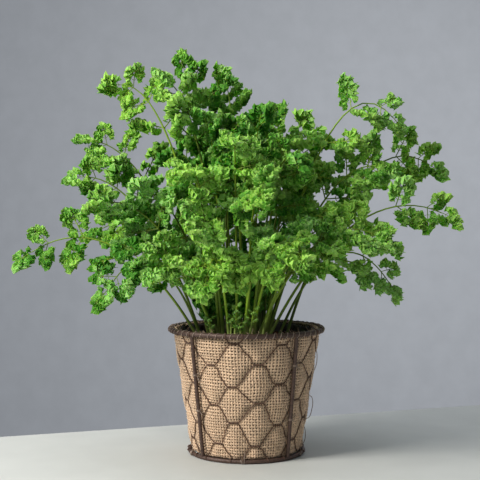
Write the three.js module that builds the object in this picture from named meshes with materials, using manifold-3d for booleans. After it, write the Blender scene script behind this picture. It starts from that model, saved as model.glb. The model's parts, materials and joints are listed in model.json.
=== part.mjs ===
// Curly parsley growing in a wire basket pot that is lined with hessian.
//
// Millimetres, +Z up. The origin is on the pot's axis, in the plane that the pot stands on.
// +X points to the right and +Y to the back, as the pot is seen from its front.
//
// The pot, from the outside in: a rim ring and a base ring of round wire, four upright ribs between
// them, hexagonal wire netting inside the ribs, a hessian lining, a thin plastic liner and the soil.
// Two crossed wires carry the lining's floor. The parsley is a clump of fronds. Each frond is one
// solid: a long stalk that stands in its own hole in the soil, with lobed, pleated leaflets.

import * as THREE from "three";
import { mergeVertices } from "three/addons/utils/BufferGeometryUtils.js";
import Module from "manifold-3d";

const wasm = await Module();
wasm.setup();

// ---------------------------------------------------------------- driving dimensions

const RIM_DIAMETER = 130; // over the rim wire
const BASE_DIAMETER = 98.4; // over the base ring
const POT_HEIGHT = 104.7;
const RIM_WIRE = 4;
const BASE_WIRE = 3.4;
const RIB_WIRE = 3.2;
// Each rib's turn at its foot and at its head, in degrees round from the front.
const RIB_TURNS = [[-47.6, -44], [43.3, 38.5], [136, 134], [227, 225]];
const CROSS_WIRE = 2;
const CROSS_SINK = 1; // how far the upper cross wire is pressed into the lower one
const CROSS_CLEAR = 0.65; // room between the ends of the cross wires and the base ring

const GAP = 0.35; // clearance that touching pieces keep
const NET_WIRE = 1.1;
const NET_COLUMNS = 18; // columns of twists round the pot
const NET_PITCH = 32.2; // height of one mesh
const NET_TWIST = 7.5; // length of a twist
const NET_FIRST = 15; // height of the lowest twist in the even columns
const NET_TURN = 9; // degrees round from the front to column 0
const SHORTEST_END = 0.15; // share of a slanting wire below which its cut end is left out
const HESSIAN_THICKNESS = 1.2;
const HESSIAN_SAG = 0.65; // room for the netting's straight wires, which cut the round wall's corners
const HESSIAN_TOP = 104;
const LINER_THICKNESS = 0.8;
const LINER_TOP = 102.3;
const LINER_CRINKLE = 1.1; // waves along the liner's free edge
const CUP_SEGMENTS = 36;
const SOIL_EDGE = 93.5; // height of the soil at the liner
const SOIL_ROUNDING = 4.5; // height over which the soil's edge is rounded
const SOIL_CROWN = 3; // rise of the soil in the middle
const SOIL_LUMPS = 0.7;

const BARE_STEPS = 3; // straight steps of a stalk between the soil and its leaf
const STALK_SINK = 11; // depth of a stalk in the soil
const STALK_CLEAR = 8; // height above the soil up to which a stalk is straight
const STALK_ROOT = 1.7; // stalk radius in the soil
const STALK_NECK = 1.0; // stalk radius where the leaf starts
const STALK_TIP = 0.55;
const LEAF_THICKNESS = 1.0;
const LEAF_ROOT = 1.8; // width of a leaflet's stalk where it leaves the main stalk
const LEAF_NECK = 0.7; // half its width at the blade
const LEAFLET_TRIES = 24; // places that are tried for each leaflet
const LEAFLET_SHRINK = 0.8; // size of a leaflet that only finds room in the later tries
const LEAFLET_VARIES = 0.12; // share by which leaflets and their lobes differ in size
const LEAFLET_FAN = 98; // degrees to each side over which the lobes of a leaflet spread
// The following are shares of a leaflet's size.
const LOBE_REACH = 0.86; // how far its side lobes reach
const LOBE_NOTCH = 0.52; // how far the notches between its lobes reach
const LOBE_PLEAT = 0.2;
const LOBE_DROOP = 0.22;
const BLADE_AHEAD = 0.25; // from the blade's neck to the centre of its fan
const HUB_AHEAD = 0.32; // from the blade's neck to where its pleats meet
const HUB_LIFT = 0.12;

// ---------------------------------------------------------------- colours

const finish = (colour, roughness, metalness = 0) =>
  new THREE.MeshStandardMaterial({ color: colour, roughness, metalness });
const RUSTY_WIRE = finish(0x4b382e, 0.65, 0.6);
const NET_FINISH = finish(0x54402f, 0.7, 0.5);
const HESSIAN = finish(0xb4946c, 0.95);
const LINER = finish(0x201d1b, 0.5);
const SOIL = finish(0x2a1c13, 1);
const GREENS = [0x4c8a1f, 0x3f7a1b, 0x5d9a2a, 0x6ba534].map((colour) => finish(colour, 0.55));

// ---------------------------------------------------------------- small helpers

const { sin, cos, hypot, floor, PI } = Math;
const rad = THREE.MathUtils.degToRad;
const mix = THREE.MathUtils.lerp;
const vec = (x, y, z) => new THREE.Vector3(x, y, z);

// A repeatable draw from 0 to 1 for the numbers given.
function draw(a, b = 0, c = 0) {
  const s = sin(a * 12.9898 + b * 78.233 + c * 37.719) * 43758.5453;
  return s - floor(s);
}
const spread = (a, b, c) => 2 * draw(a, b, c) - 1;

// A point on the pot's wall: degrees round from the front, distance from the axis, height.
function around(turn, radius, z) {
  return vec(radius * sin(rad(turn)), -radius * cos(rad(turn)), z);
}

function meshData(points, triangles) {
  const geometry = new THREE.BufferGeometry();
  const places = points.flatMap((p) => p.toArray());
  geometry.setAttribute("position", new THREE.Float32BufferAttribute(places, 3));
  geometry.setIndex(triangles.flat());
  return geometry;
}

// A closed geometry as a manifold-3d solid, whichever way its faces were wound.
function solidOf(geometry) {
  const bare = geometry.clone();
  bare.deleteAttribute("normal");
  bare.deleteAttribute("uv");
  const merged = mergeVertices(bare, 1e-3);
  const triVerts = new Uint32Array(merged.index.array);
  const build = () =>
    new wasm.Manifold(
      new wasm.Mesh({ numProp: 3, vertProperties: merged.attributes.position.array, triVerts }),
    );
  const solid = build();
  if (solid.volume() > 0) return solid;
  for (let i = 0; i < triVerts.length; i += 3) {
    [triVerts[i + 1], triVerts[i + 2]] = [triVerts[i + 2], triVerts[i + 1]];
  }
  return build();
}

function geometryOf(solid) {
  const mesh = solid.getMesh();
  const geometry = new THREE.BufferGeometry();
  geometry.setAttribute("position", new THREE.BufferAttribute(mesh.vertProperties, mesh.numProp));
  geometry.setIndex(new THREE.BufferAttribute(mesh.triVerts, 1));
  geometry.computeVertexNormals();
  return geometry;
}

const object = new THREE.Group();
const solids = new Map();

function addPiece(name, shape, material) {
  const solid = shape.isBufferGeometry ? solidOf(shape) : shape;
  const mesh = new THREE.Mesh(geometryOf(solid), material);
  mesh.name = name;
  object.add(mesh);
  solids.set(name, solid);
}

// A profile of [radius, height] points turned about the Z axis.
function turned(profile, segments) {
  const points = profile.map(([r, z]) => new THREE.Vector2(r, z));
  return new THREE.LatheGeometry(points, segments).rotateX(PI / 2);
}

// ---------------------------------------------------------------- the basket

const rimRadius = (RIM_DIAMETER - RIM_WIRE) / 2;
const baseRadius = (BASE_DIAMETER - BASE_WIRE) / 2;
const rimHeight = POT_HEIGHT - RIM_WIRE / 2;
const baseHeight = BASE_WIRE / 2;

// Distance from the axis to the wall line, which joins the centres of the two rings' wires.
const wall = (z) => mix(baseRadius, rimRadius, (z - baseHeight) / (rimHeight - baseHeight));

const netInset = RIB_WIRE / 2 + GAP + NET_WIRE / 2;
const hessianInset = netInset + NET_WIRE / 2 + HESSIAN_SAG;
const linerInset = hessianInset + HESSIAN_THICKNESS + GAP;
const soilInset = linerInset + LINER_THICKNESS + GAP;

const crossTop = 2 * CROSS_WIRE - CROSS_SINK;
const hessianFloor = crossTop + GAP;
const linerFloor = hessianFloor + HESSIAN_THICKNESS + GAP;
const soilFloor = linerFloor + LINER_THICKNESS + GAP;

// A ring of round wire with a flat under it, so that it stands square.
function wireRing(radius, height, wire, segments) {
  const sides = 8;
  const corner = wire / 2 / cos(PI / sides);
  const profile = Array.from({ length: sides + 1 }, (_, i) => {
    const a = ((i + 0.5) * 2 * PI) / sides;
    return [radius + corner * cos(a), height + corner * sin(a)];
  });
  return turned(profile, segments);
}

// A straight wire between two points, with a flat under it.
function straightWire(from, to, wire, sides) {
  const length = from.distanceTo(to);
  const corner = wire / 2 / cos(PI / sides);
  const rod = new THREE.CylinderGeometry(corner, corner, length, sides).rotateY(PI / sides);
  const turn = new THREE.Quaternion().setFromUnitVectors(vec(0, 1, 0), to.clone().sub(from).normalize());
  return rod.applyQuaternion(turn).translate(...from.clone().add(to).divideScalar(2).toArray());
}

function addBasket() {
  addPiece("rim_ring", wireRing(rimRadius, rimHeight, RIM_WIRE, 36), RUSTY_WIRE);
  addPiece("base_ring", wireRing(baseRadius, baseHeight, BASE_WIRE, 32), RUSTY_WIRE);

  const tilt = RIB_WIRE / 2 * ((rimRadius - baseRadius) / (rimHeight - baseHeight));
  const ribFoot = BASE_WIRE + GAP + tilt;
  const ribHead = POT_HEIGHT - RIM_WIRE - GAP - tilt;
  RIB_TURNS.forEach(([footTurn, headTurn], i) => {
    const foot = around(footTurn, wall(ribFoot), ribFoot);
    const head = around(headTurn, wall(ribHead), ribHead);
    addPiece(`rib_${i + 1}`, straightWire(foot, head, RIB_WIRE, 8), RUSTY_WIRE);
  });

  const reach = baseRadius - BASE_WIRE / 2 - CROSS_CLEAR;
  const lowerZ = CROSS_WIRE / 2;
  const upperZ = lowerZ + CROSS_WIRE - CROSS_SINK;
  const lower = straightWire(vec(-reach, 0, lowerZ), vec(reach, 0, lowerZ), CROSS_WIRE, 8);
  const upper = straightWire(vec(0, -reach, upperZ), vec(0, reach, upperZ), CROSS_WIRE, 8);
  addPiece("base_cross", solidOf(lower).add(solidOf(upper)), RUSTY_WIRE);
}

// ---------------------------------------------------------------- the netting

// The netting as a graph on the wall: nodes at the ends of each twist, joined by twists and by the
// slanting wires to the columns on either side. Wires that leave the top or bottom end in the open.
function netGraph(top, bottom) {
  const nodes = [];
  const edges = [];
  const rows = Math.ceil(top / NET_PITCH);
  const columnTurn = 360 / NET_COLUMNS;
  const halfTwist = THREE.MathUtils.radToDeg(NET_TWIST / 2 / (wall(POT_HEIGHT / 2) - netInset));
  const at = new Map();
  const nodeAt = (turn, z) => nodes.push({ turn, z, joined: [] }) - 1;
  const join = (a, b) => {
    edges.push([a, b]);
    nodes[a].joined.push(b);
    nodes[b].joined.push(a);
  };
  const height = (column, row) => NET_FIRST + (row + (column % 2) / 2) * NET_PITCH;
  for (let column = 0; column < NET_COLUMNS; column++) {
    for (let row = -1; row < rows; row++) {
      const z = height(column, row);
      if (z < bottom + NET_WIRE || z > top - NET_WIRE) continue;
      const turn = NET_TURN + column * columnTurn;
      const left = nodeAt(turn - halfTwist, z);
      const right = nodeAt(turn + halfTwist, z);
      at.set(`${column},${row}`, { left, right });
      join(left, right);
    }
  }
  for (let column = 0; column < NET_COLUMNS; column++) {
    const next = (column + 1) % NET_COLUMNS;
    const lift = column % 2; // an odd column's twist stands between rows of the next column
    for (let row = -1; row < rows; row++) {
      for (const other of [row - 1 + lift, row + lift]) {
        const a = at.get(`${column},${row}`);
        const b = at.get(`${next},${other}`);
        if (a && b) join(a.right, b.left);
        if (!a === !b) continue;
        const known = a ? a.right : b.left;
        const from = nodes[known];
        const side = a ? 1 : -1;
        const goal = a ? height(next, other) : height(column, row);
        const edge = goal > from.z ? top : bottom;
        const share = (edge - from.z) / (goal - from.z);
        if (share < SHORTEST_END) continue;
        const end = nodeAt(from.turn + side * share * (columnTurn - 2 * halfTwist), edge);
        join(known, end);
      }
    }
  }
  return { nodes, edges };
}

// Gives every wire of the graph a square section and mitres the wires where they meet.
function netting(top, bottom) {
  const { nodes, edges } = netGraph(top, bottom);
  const radiusAt = (z) => wall(z) - netInset;
  const points = [];
  const triangles = [];
  const corner = new Map(); // "node,neighbour" to the corner clockwise of that wire

  const flat = (from, to) => {
    const turn = ((to.turn - from.turn + 540) % 360) - 180;
    return new THREE.Vector2(rad(turn) * radiusAt((from.z + to.z) / 2), to.z - from.z).normalize();
  };
  const place = (node, offset) => {
    const z = node.z + offset.y;
    const turn = node.turn + THREE.MathUtils.radToDeg(offset.x / radiusAt(node.z));
    points.push(around(turn, radiusAt(z) + NET_WIRE / 2, z), around(turn, radiusAt(z) - NET_WIRE / 2, z));
    return points.length - 2;
  };
  const half = NET_WIRE / 2;

  nodes.forEach((node, id) => {
    const wires = node.joined.map((other) => ({ other, way: flat(node, nodes[other]) }));
    wires.sort((p, q) => p.way.angle() - q.way.angle());
    if (wires.length === 1) {
      const [{ other, way }] = wires;
      const side = new THREE.Vector2(way.y, -way.x).multiplyScalar(half);
      corner.set(`${id},${other},right`, place(node, side));
      corner.set(`${id},${other},left`, place(node, side.clone().negate()));
      return;
    }
    const made = wires.map(({ way }, i) => {
      const next = wires[(i + 1) % wires.length];
      const turn = way.x * next.way.y - way.y * next.way.x;
      const bisector = way.clone().add(next.way).multiplyScalar(half / turn);
      return place(node, bisector);
    });
    wires.forEach(({ other }, i) => {
      corner.set(`${id},${other},left`, made[i]);
      corner.set(`${id},${other},right`, made[(i + made.length - 1) % made.length]);
    });
    for (let i = 1; i + 1 < made.length; i++) {
      triangles.push([made[0], made[i], made[i + 1]]);
      triangles.push([made[0] + 1, made[i + 1] + 1, made[i] + 1]);
    }
  });

  const quad = (a, b, c, d) => triangles.push([a, b, c], [a, c, d]);
  edges.forEach(([a, b]) => {
    const aLeft = corner.get(`${a},${b},left`);
    const aRight = corner.get(`${a},${b},right`);
    const bLeft = corner.get(`${b},${a},left`);
    const bRight = corner.get(`${b},${a},right`);
    quad(aRight, bLeft, bRight, aLeft);
    quad(aLeft + 1, bRight + 1, bLeft + 1, aRight + 1);
    quad(aLeft, bRight, bRight + 1, aLeft + 1);
    quad(bLeft, aRight, aRight + 1, bLeft + 1);
    if (nodes[a].joined.length === 1) quad(aRight, aLeft, aLeft + 1, aRight + 1);
    if (nodes[b].joined.length === 1) quad(bRight, bLeft, bLeft + 1, bRight + 1);
  });
  return meshData(points, triangles);
}

// ---------------------------------------------------------------- lining and soil

// A cup whose wall follows the basket's, inset by a given amount.
function cup(inset, floorZ, topZ, thickness) {
  const outer = (z) => wall(z) - inset;
  return turned(
    [
      [0, floorZ],
      [outer(floorZ), floorZ],
      [outer(topZ), topZ],
      [outer(topZ) - thickness, topZ],
      [outer(floorZ + thickness) - thickness, floorZ + thickness],
      [0, floorZ + thickness],
    ],
    CUP_SEGMENTS,
  );
}

// The geometry with each of its points moved by a rule.
function shifted(geometry, change) {
  const place = geometry.attributes.position;
  for (let i = 0; i < place.count; i++) {
    const p = change(vec(place.getX(i), place.getY(i), place.getZ(i)));
    place.setXYZ(i, p.x, p.y, p.z);
  }
  return geometry;
}

// Height of the soil's surface: a low crown with two waves of lumps across it.
function soilHeight(x, y) {
  const crown = 1 - (hypot(x, y) / (wall(SOIL_EDGE) - soilInset)) ** 2;
  const lumps = sin(x / 5 + 1) * cos(y / 6) + 0.6 * sin(y / 2.6 + x / 9);
  return SOIL_EDGE + SOIL_CROWN * crown + SOIL_LUMPS * lumps;
}

function soilPlug() {
  const outer = (z) => wall(z) - soilInset;
  const edge = outer(SOIL_EDGE);
  const plug = turned(
    [
      [0, soilFloor],
      [outer(soilFloor), soilFloor],
      [outer(SOIL_EDGE - SOIL_ROUNDING), SOIL_EDGE - SOIL_ROUNDING],
      [edge - SOIL_ROUNDING / 3, SOIL_EDGE],
      [edge * 0.7, SOIL_EDGE],
      [edge * 0.36, SOIL_EDGE],
      [0, SOIL_EDGE],
    ],
    CUP_SEGMENTS / 2,
  );
  return shifted(plug, (p) => {
    if (p.z > SOIL_EDGE - 0.1) p.z = soilHeight(p.x, p.y);
    return p;
  });
}

function addLining() {
  const netTop = POT_HEIGHT - RIM_WIRE - NET_WIRE;
  const netBottom = BASE_WIRE + NET_WIRE;
  addPiece("hex_netting", netting(netTop, netBottom), NET_FINISH);
  addPiece("hessian_lining", cup(hessianInset, hessianFloor, HESSIAN_TOP, HESSIAN_THICKNESS), HESSIAN);
  const liner = shifted(cup(linerInset, linerFloor, LINER_TOP, LINER_THICKNESS), (p) => {
    const turn = Math.atan2(p.x, -p.y);
    if (p.z > LINER_TOP - 0.1) p.z += LINER_CRINKLE * sin(7 * turn) * cos(3 * turn);
    return p;
  });
  addPiece("plastic_liner", liner, LINER);
}

// ---------------------------------------------------------------- the parsley

// How far along towards its tip a stalk has leaned, low down and at the shoulder of its arch.
const LEAN_LOW = 0.22;
const LEAN_HIGH = 0.6;

// Fronds that make the plant's outline, each placed by its tip. rise is how far the stalk's arch
// aims above the tip, leaf is the length of the leafy part, root is where the stalk stands and roll
// is how many degrees the leaf is turned about its stalk.
const OUTLINE_FRONDS = [
  { tip: [-177, -12, 167], rise: 38, leaf: 96, root: [-34, -9], roll: -70 },
  { tip: [-110, -46, 138], rise: 54, leaf: 78, root: [-33, -20], roll: -50 },
  { tip: [-138, 12, 230], rise: 2, leaf: 66, root: [-35, 2], roll: 70 },
  { tip: [-130, 34, 262], rise: -8, leaf: 62, root: [-29, 13], roll: -60 },
  { tip: [-115, -34, 207], rise: 8, leaf: 58, root: [-22, -13], roll: 55 },
  { tip: [-128, 48, 186], rise: 22, leaf: 58, root: [-27, 27], roll: -55 },
  { tip: [-104, 6, 307], rise: 2, leaf: 60, root: [-22, 1], roll: 75 },
  { tip: [-52, 14, 320], rise: -26, leaf: 76, root: [-10, 9], roll: 60 },
  { tip: [-60, -20, 303], rise: -16, leaf: 56, root: [-14, -7], roll: -65 },
  { tip: [-17, 36, 311], rise: -24, leaf: 58, root: [-1, 18], roll: 65 },
  { tip: [56, 22, 256], rise: -6, leaf: 58, root: [11, 14], roll: -60 },
  { tip: [124, 10, 280], rise: 52, leaf: 88, root: [14, 5], roll: 70 },
  { tip: [162, 50, 243], rise: 34, leaf: 70, root: [31, 17], roll: -60 },
  { tip: [110, -4, 238], rise: 8, leaf: 62, root: [15, -6], roll: 55 },
  { tip: [161, -14, 199], rise: 28, leaf: 84, root: [13, -18], roll: -65 },
  { tip: [106, -52, 178], rise: 30, leaf: 60, root: [4, -29], roll: 45 },
  { tip: [123, 26, 140], rise: 60, leaf: 70, root: [24, 12], roll: 65 },
];

// Short fronds that fill the clump low down, all round.
const LOW_FRONDS = [
  { tip: [-84, -52, 152], rise: 30, leaf: 58, root: [-22, -27], roll: 40 },
  { tip: [-30, -86, 152], rise: 34, leaf: 56, root: [-13, -33], roll: -35 },
  { tip: [16, -84, 160], rise: 28, leaf: 56, root: [-4, -34], roll: 50 },
  { tip: [62, -62, 162], rise: 30, leaf: 58, root: [9, -34], roll: -45 },
  { tip: [-46, 80, 152], rise: 30, leaf: 56, root: [-13, 30], roll: 40 },
  { tip: [54, 78, 154], rise: 30, leaf: 56, root: [16, 29], roll: -40 },
];

// The rest of the clump: tips on a dome, a golden angle apart.
const DOME_FRONDS = 26;
const DOME_SEED = 1170;
const DOME_FIRST_TURN = 15;
const GOLDEN_TURN = 137.508;
const DOME = { acrossX: 92, acrossY: 122, height: 172, floor: 112 };
const ROOTS = { middleX: -6, inner: 4, acrossX: 20, acrossY: 26 };

// Where leaflets stand on a frond: share of the leafy part, stalk length, size, lobes. All but the
// last stand in pairs.
const LEAFLETS = [
  { share: 0.1, stalk: 19, size: 16, lobes: 3 },
  { share: 0.53, stalk: 13, size: 16, lobes: 3 },
  { share: 0.84, stalk: 6, size: 14, lobes: 2 },
  { share: 1, stalk: 3, size: 16, lobes: 3 },
];

function domeFrond(i) {
  const turn = rad(DOME_FIRST_TURN + i * GOLDEN_TURN);
  const slope = rad(10 + 66 * ((i + 0.5) / DOME_FRONDS) ** 0.8);
  const reach = sin(slope) * (1 + 0.12 * spread(DOME_SEED, i, 1));
  const tip = [
    DOME.acrossX * reach * cos(turn),
    DOME.acrossY * reach * sin(turn),
    DOME.floor + DOME.height * cos(slope) * (1 + 0.06 * spread(DOME_SEED, i, 2)),
  ];
  const foot = turn + 0.35 * spread(DOME_SEED, i, 3);
  const root = [
    ROOTS.middleX + (ROOTS.inner + ROOTS.acrossX * sin(slope)) * cos(foot),
    (ROOTS.inner + ROOTS.acrossY * sin(slope)) * sin(foot),
  ];
  return { tip, rise: -24 + 50 * sin(slope), leaf: 60, root, roll: 70 * spread(DOME_SEED, i, 4) };
}

// The line that a frond's stalk follows, from its foot in the soil to the leaf's tip.
function spine({ tip, rise, root }) {
  const [x, y, z] = tip;
  const foot = soilHeight(...root) - STALK_SINK;
  const shoulder = z + rise;
  return new THREE.CubicBezierCurve3(
    vec(root[0], root[1], foot),
    vec(mix(root[0], x, LEAN_LOW), mix(root[1], y, LEAN_LOW), mix(foot, shoulder, 0.52)),
    vec(mix(root[0], x, LEAN_HIGH), mix(root[1], y, LEAN_HIGH), shoulder),
    vec(x, y, z),
  );
}

// Point, direction, side and upper normal at a share of the spine's length, rolled about it.
function frameOn(curve, roll, share) {
  const level = vec(curve.v3.y - curve.v0.y, curve.v0.x - curve.v3.x, 0).normalize();
  const way = curve.getTangentAt(share);
  const side = level.addScaledVector(way, -level.dot(way)).normalize().applyAxisAngle(way, rad(roll));
  return { at: curve.getPointAt(share), way, side, up: side.clone().cross(way) };
}

// The three corners of a stalk's section: on its upper side, and low on its left and right.
function stalkRing({ at, side, up }, radius) {
  return [90, 210, 330].map((a) =>
    at.clone().addScaledVector(side, radius * cos(rad(a))).addScaledVector(up, radius * sin(rad(a))),
  );
}

// A mesh under construction that is closed once every open side has been filled.
class Shell {
  points = [];
  triangles = [];
  add(points) {
    return points.map((p) => this.points.push(p) - 1);
  }
  face(...corners) {
    for (let i = 1; i + 1 < corners.length; i++) {
      const triangle = [corners[0], corners[i], corners[i + 1]];
      if (new Set(triangle).size === 3) this.triangles.push(triangle);
    }
  }
  tube(rings, open) {
    this.face(...rings[0]);
    for (let i = 0; i + 1 < rings.length; i++) {
      for (let k = 0; k < 3; k++) {
        const n = (k + 1) % 3;
        if (open.has(`${i},${k}`)) continue;
        this.face(rings[i][n], rings[i][k], rings[i + 1][k], rings[i + 1][n]);
      }
    }
  }
  solid() {
    return solidOf(meshData(this.points, this.triangles));
  }
}

// A leaflet's upper and lower outlines, from one side of its neck round its lobes to the other, and
// the hub that its pleats run to.
function leafletShape({ at, way, up }, { stalk, size, lobes, seed }) {
  const across = up.clone().cross(way);
  const fan = rad(LEAFLET_FAN);
  const edge = 2 * lobes - 1;
  const outline = [[stalk, -LEAF_NECK, 0]];
  for (let i = 0; i < edge; i++) {
    const a = mix(-fan, fan, i / (edge - 1));
    const isTip = i % 2 === 0;
    const share = isTip ? LOBE_REACH + (1 - LOBE_REACH) * cos(a) : LOBE_NOTCH;
    const reach = size * share * (1 + LEAFLET_VARIES * spread(seed, i));
    const pleat = (isTip ? LOBE_PLEAT : -LOBE_PLEAT) * size * (0.8 + 0.4 * draw(seed, i, 5));
    const droop = -LOBE_DROOP * size * (isTip ? 1 : 0.4);
    outline.push([stalk + reach * cos(a) + BLADE_AHEAD * size, reach * sin(a), pleat + droop]);
  }
  outline.push([stalk, LEAF_NECK, 0]);
  const hub = [stalk + HUB_AHEAD * size, 0, HUB_LIFT * size];
  const middle = [...outline, hub].map(([a, b, c]) =>
    at.clone().addScaledVector(way, a).addScaledVector(across, b).addScaledVector(up, c),
  );
  const lift = up.clone().multiplyScalar(LEAF_THICKNESS / 2);
  return [1, -1].map((face) => middle.map((p) => p.clone().addScaledVector(lift, face)));
}

// Adds a leaflet to a shell. root holds the ends of the leaflet's stalk: the upper and lower corner
// on one side and on the other. With no root the blade is closed at its neck.
function addLeaflet(shell, shape, root) {
  const [top, bottom] = shape.map((points) => shell.add(points));
  const last = top.length - 2;
  const hub = top.length - 1;
  for (let i = 0; i < last; i++) {
    shell.face(top[hub], top[i], top[i + 1]);
    shell.face(bottom[hub], bottom[i + 1], bottom[i]);
    shell.face(top[i], bottom[i], bottom[i + 1], top[i + 1]);
  }
  shell.face(top[hub], top[last], top[0]);
  shell.face(bottom[hub], bottom[0], bottom[last]);
  if (!root) {
    shell.face(top[last], bottom[last], bottom[0], top[0]);
    return;
  }
  const [[topA, bottomA], [topB, bottomB]] = root;
  shell.face(topA, top[0], top[last], topB);
  shell.face(bottomA, bottomB, bottom[last], bottom[0]);
  shell.face(topA, bottomA, bottom[0], top[0]);
  shell.face(top[last], bottom[last], bottomB, topB);
}

function leafletSolid(shape, corners) {
  const shell = new Shell();
  if (!corners) {
    addLeaflet(shell, shape);
    return shell.solid();
  }
  const root = corners.map((pair) => shell.add(pair));
  addLeaflet(shell, shape, root);
  shell.face(root[0][0], root[1][0], root[1][1], root[0][1]);
  return shell.solid();
}

// Direction and upper normal of a leaflet, for one of several tries at a clear place.
function stance(frame, side, seed, attempt) {
  const swing = attempt === 0 ? 0 : 1;
  const open = rad(58 + 12 * spread(seed, 1) + swing * 26 * spread(seed, attempt, 11));
  const lift = rad(8 + 14 * spread(seed, 2) + swing * 34 * spread(seed, attempt, 12));
  const ahead = side === 0 ? 1 : cos(open);
  const aside = side === 0 ? swing * 0.4 * spread(seed, attempt, 13) : side * sin(open);
  const way = frame.way.clone().multiplyScalar(ahead * cos(lift));
  way.addScaledVector(frame.side, aside * cos(lift)).addScaledVector(frame.up, sin(lift)).normalize();
  const up = frame.up.clone().addScaledVector(way, -frame.up.dot(way)).normalize();
  up.applyAxisAngle(way, rad(24 * spread(seed, 3) + swing * 50 * spread(seed, attempt, 14)));
  return { at: frame.at, way, up };
}

// The ids or corners where a leaflet joins its stalk: two rings and the side that it leaves from.
function rootOf(before, after, side) {
  if (side > 0) return [[before[0], before[2]], [after[0], after[2]]];
  if (side < 0) return [[after[0], after[1]], [before[0], before[1]]];
  return [[after[0], after[2]], [after[0], after[1]]];
}

const boxed = (solid) => ({ solid, box: solid.boundingBox() });
const overlaps = (a, b) =>
  a.min.every((low, i) => low <= b.max[i] + GAP) && b.min.every((low, i) => low <= a.max[i] + GAP);

function isClear({ solid, box }, others) {
  return others.every((other) => !overlaps(box, other.box) || solid.minGap(other.solid, GAP) >= 0.99 * GAP);
}

// Works out a frond's stalk: a ring where it leaves the soil, evenly spaced ones up to the leaf, then
// two close together at each pair of leaflets and one at the tip.
function layOut(frond) {
  const curve = spine(frond);
  const length = curve.getLength();
  const neck = 1 - frond.leaf / length;
  const clear = (STALK_SINK + STALK_CLEAR) / length;
  const radiusAt = (s) =>
    s < neck
      ? mix(STALK_ROOT, STALK_NECK, s / neck)
      : mix(STALK_NECK, STALK_TIP, (s - neck) / (1 - neck));
  const stations = [0];
  for (let i = 0; i < BARE_STEPS; i++) stations.push(mix(clear, neck, i / BARE_STEPS));
  const joints = LEAFLETS.map((slot) => {
    const middle = mix(neck, 1, slot.share);
    const half = slot.share < 1 ? LEAF_ROOT / 2 / length : 0;
    if (half > 0) stations.push(middle - half);
    stations.push(middle + half);
    return { slot, frame: frameOn(curve, frond.roll, middle), ring: stations.length - 1 };
  });
  const frames = stations.map((s) => frameOn(curve, frond.roll, s));
  const rings = frames.map((frame, i) => stalkRing(frame, radiusAt(stations[i])));
  return { frames, rings, joints, stalk: boxed(bareStalk(rings)), leaflets: [] };
}

function bareStalk(rings) {
  const shell = new Shell();
  const ids = rings.map((ring) => shell.add(ring));
  shell.tube(ids, new Set());
  shell.face(...ids.at(-1).toReversed());
  return shell.solid();
}

// A hole in the soil for a stalk: its lowest stretch, with clearance all round.
function stalkHole({ frames: [foot, clear] }) {
  const deeper = { ...foot, at: foot.at.clone().addScaledVector(foot.way, -GAP) };
  return bareStalk([deeper, clear].map((frame) => stalkRing(frame, STALK_ROOT + 2 * GAP)));
}

// Looks for a place where a leaflet is clear of the pot, of every other frond and of its own.
function placeLeaflet(plant, pot, plan, joint, side, seed) {
  const { slot, frame, ring } = joint;
  const others = plant.filter((other) => other !== plan);
  const standing = [
    ...pot,
    ...others.map((other) => other.stalk),
    ...others.flatMap((other) => other.leaflets.map(({ whole }) => whole)),
  ];
  const own = plan.leaflets;
  for (let attempt = 0; attempt < LEAFLET_TRIES; attempt++) {
    const shrink = attempt < LEAFLET_TRIES / 2 ? 1 : LEAFLET_SHRINK;
    const size = slot.size * (1 + LEAFLET_VARIES * spread(seed, 9)) * shrink;
    const shape = leafletShape(stance(frame, side, seed, attempt), { ...slot, size, seed });
    const corners = rootOf(plan.rings[ring - 1], plan.rings[ring], side);
    const whole = boxed(leafletSolid(shape, corners));
    const blade = boxed(leafletSolid(shape));
    if (!isClear(whole, [...standing, ...own.map((leaflet) => leaflet.blade)])) continue;
    if (!isClear(blade, [plan.stalk, ...own.map((leaflet) => leaflet.whole)])) continue;
    own.push({ shape, side, ring, whole, blade });
    return;
  }
}

// A frond's stalk and leaflets as one closed solid, in which each leaflet grows from an open side.
function frondSolid({ rings, leaflets }) {
  const shell = new Shell();
  const ids = rings.map((ring) => shell.add(ring));
  const openSide = { 1: 2, "-1": 0 };
  shell.tube(ids, new Set(leaflets.map(({ side, ring }) => `${ring - 1},${openSide[side]}`)));
  if (!leaflets.some(({ side }) => side === 0)) shell.face(...ids.at(-1).toReversed());
  leaflets.forEach(({ shape, side, ring }) => {
    addLeaflet(shell, shape, rootOf(ids[ring - 1], ids[ring], side));
  });
  return shell.solid();
}

function addParsley() {
  const dome = Array.from({ length: DOME_FRONDS }, (_, i) => domeFrond(i));
  const plant = [...OUTLINE_FRONDS, ...LOW_FRONDS, ...dome].map(layOut);
  const pot = [...solids.values()].map(boxed);
  for (let level = LEAFLETS.length - 1; level >= 0; level--) {
    const sides = LEAFLETS[level].share < 1 ? [1, -1] : [0];
    plant.forEach((plan, i) => {
      const seed = 10 * i + 2 * level;
      sides.forEach((side) => placeLeaflet(plant, pot, plan, plan.joints[level], side, seed + side));
    });
  }
  const soil = solidOf(soilPlug());
  addPiece("soil", soil.subtract(wasm.Manifold.union(plant.map(stalkHole))), SOIL);
  plant.forEach((plan, i) => {
    const name = `frond_${String(i + 1).padStart(2, "0")}`;
    addPiece(name, frondSolid(plan), GREENS[i % GREENS.length]);
  });
}

addBasket();
addLining();
addParsley();

export default object;
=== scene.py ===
"""Curly parsley growing in a wire basket pot that is lined with hessian.

The pot is, from the outside in, two rings and four ribs of rusty wire, twisted hexagonal netting, a
hessian lining that is woven thread by thread, a crinkled plastic film and the soil. Each frond of
the plant is one piece: a round stalk that branches to pleated, ruffled leaflets.

Lengths are in metres and angles in radians, unless a name says otherwise.
"""

import json
import math
import random

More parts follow.
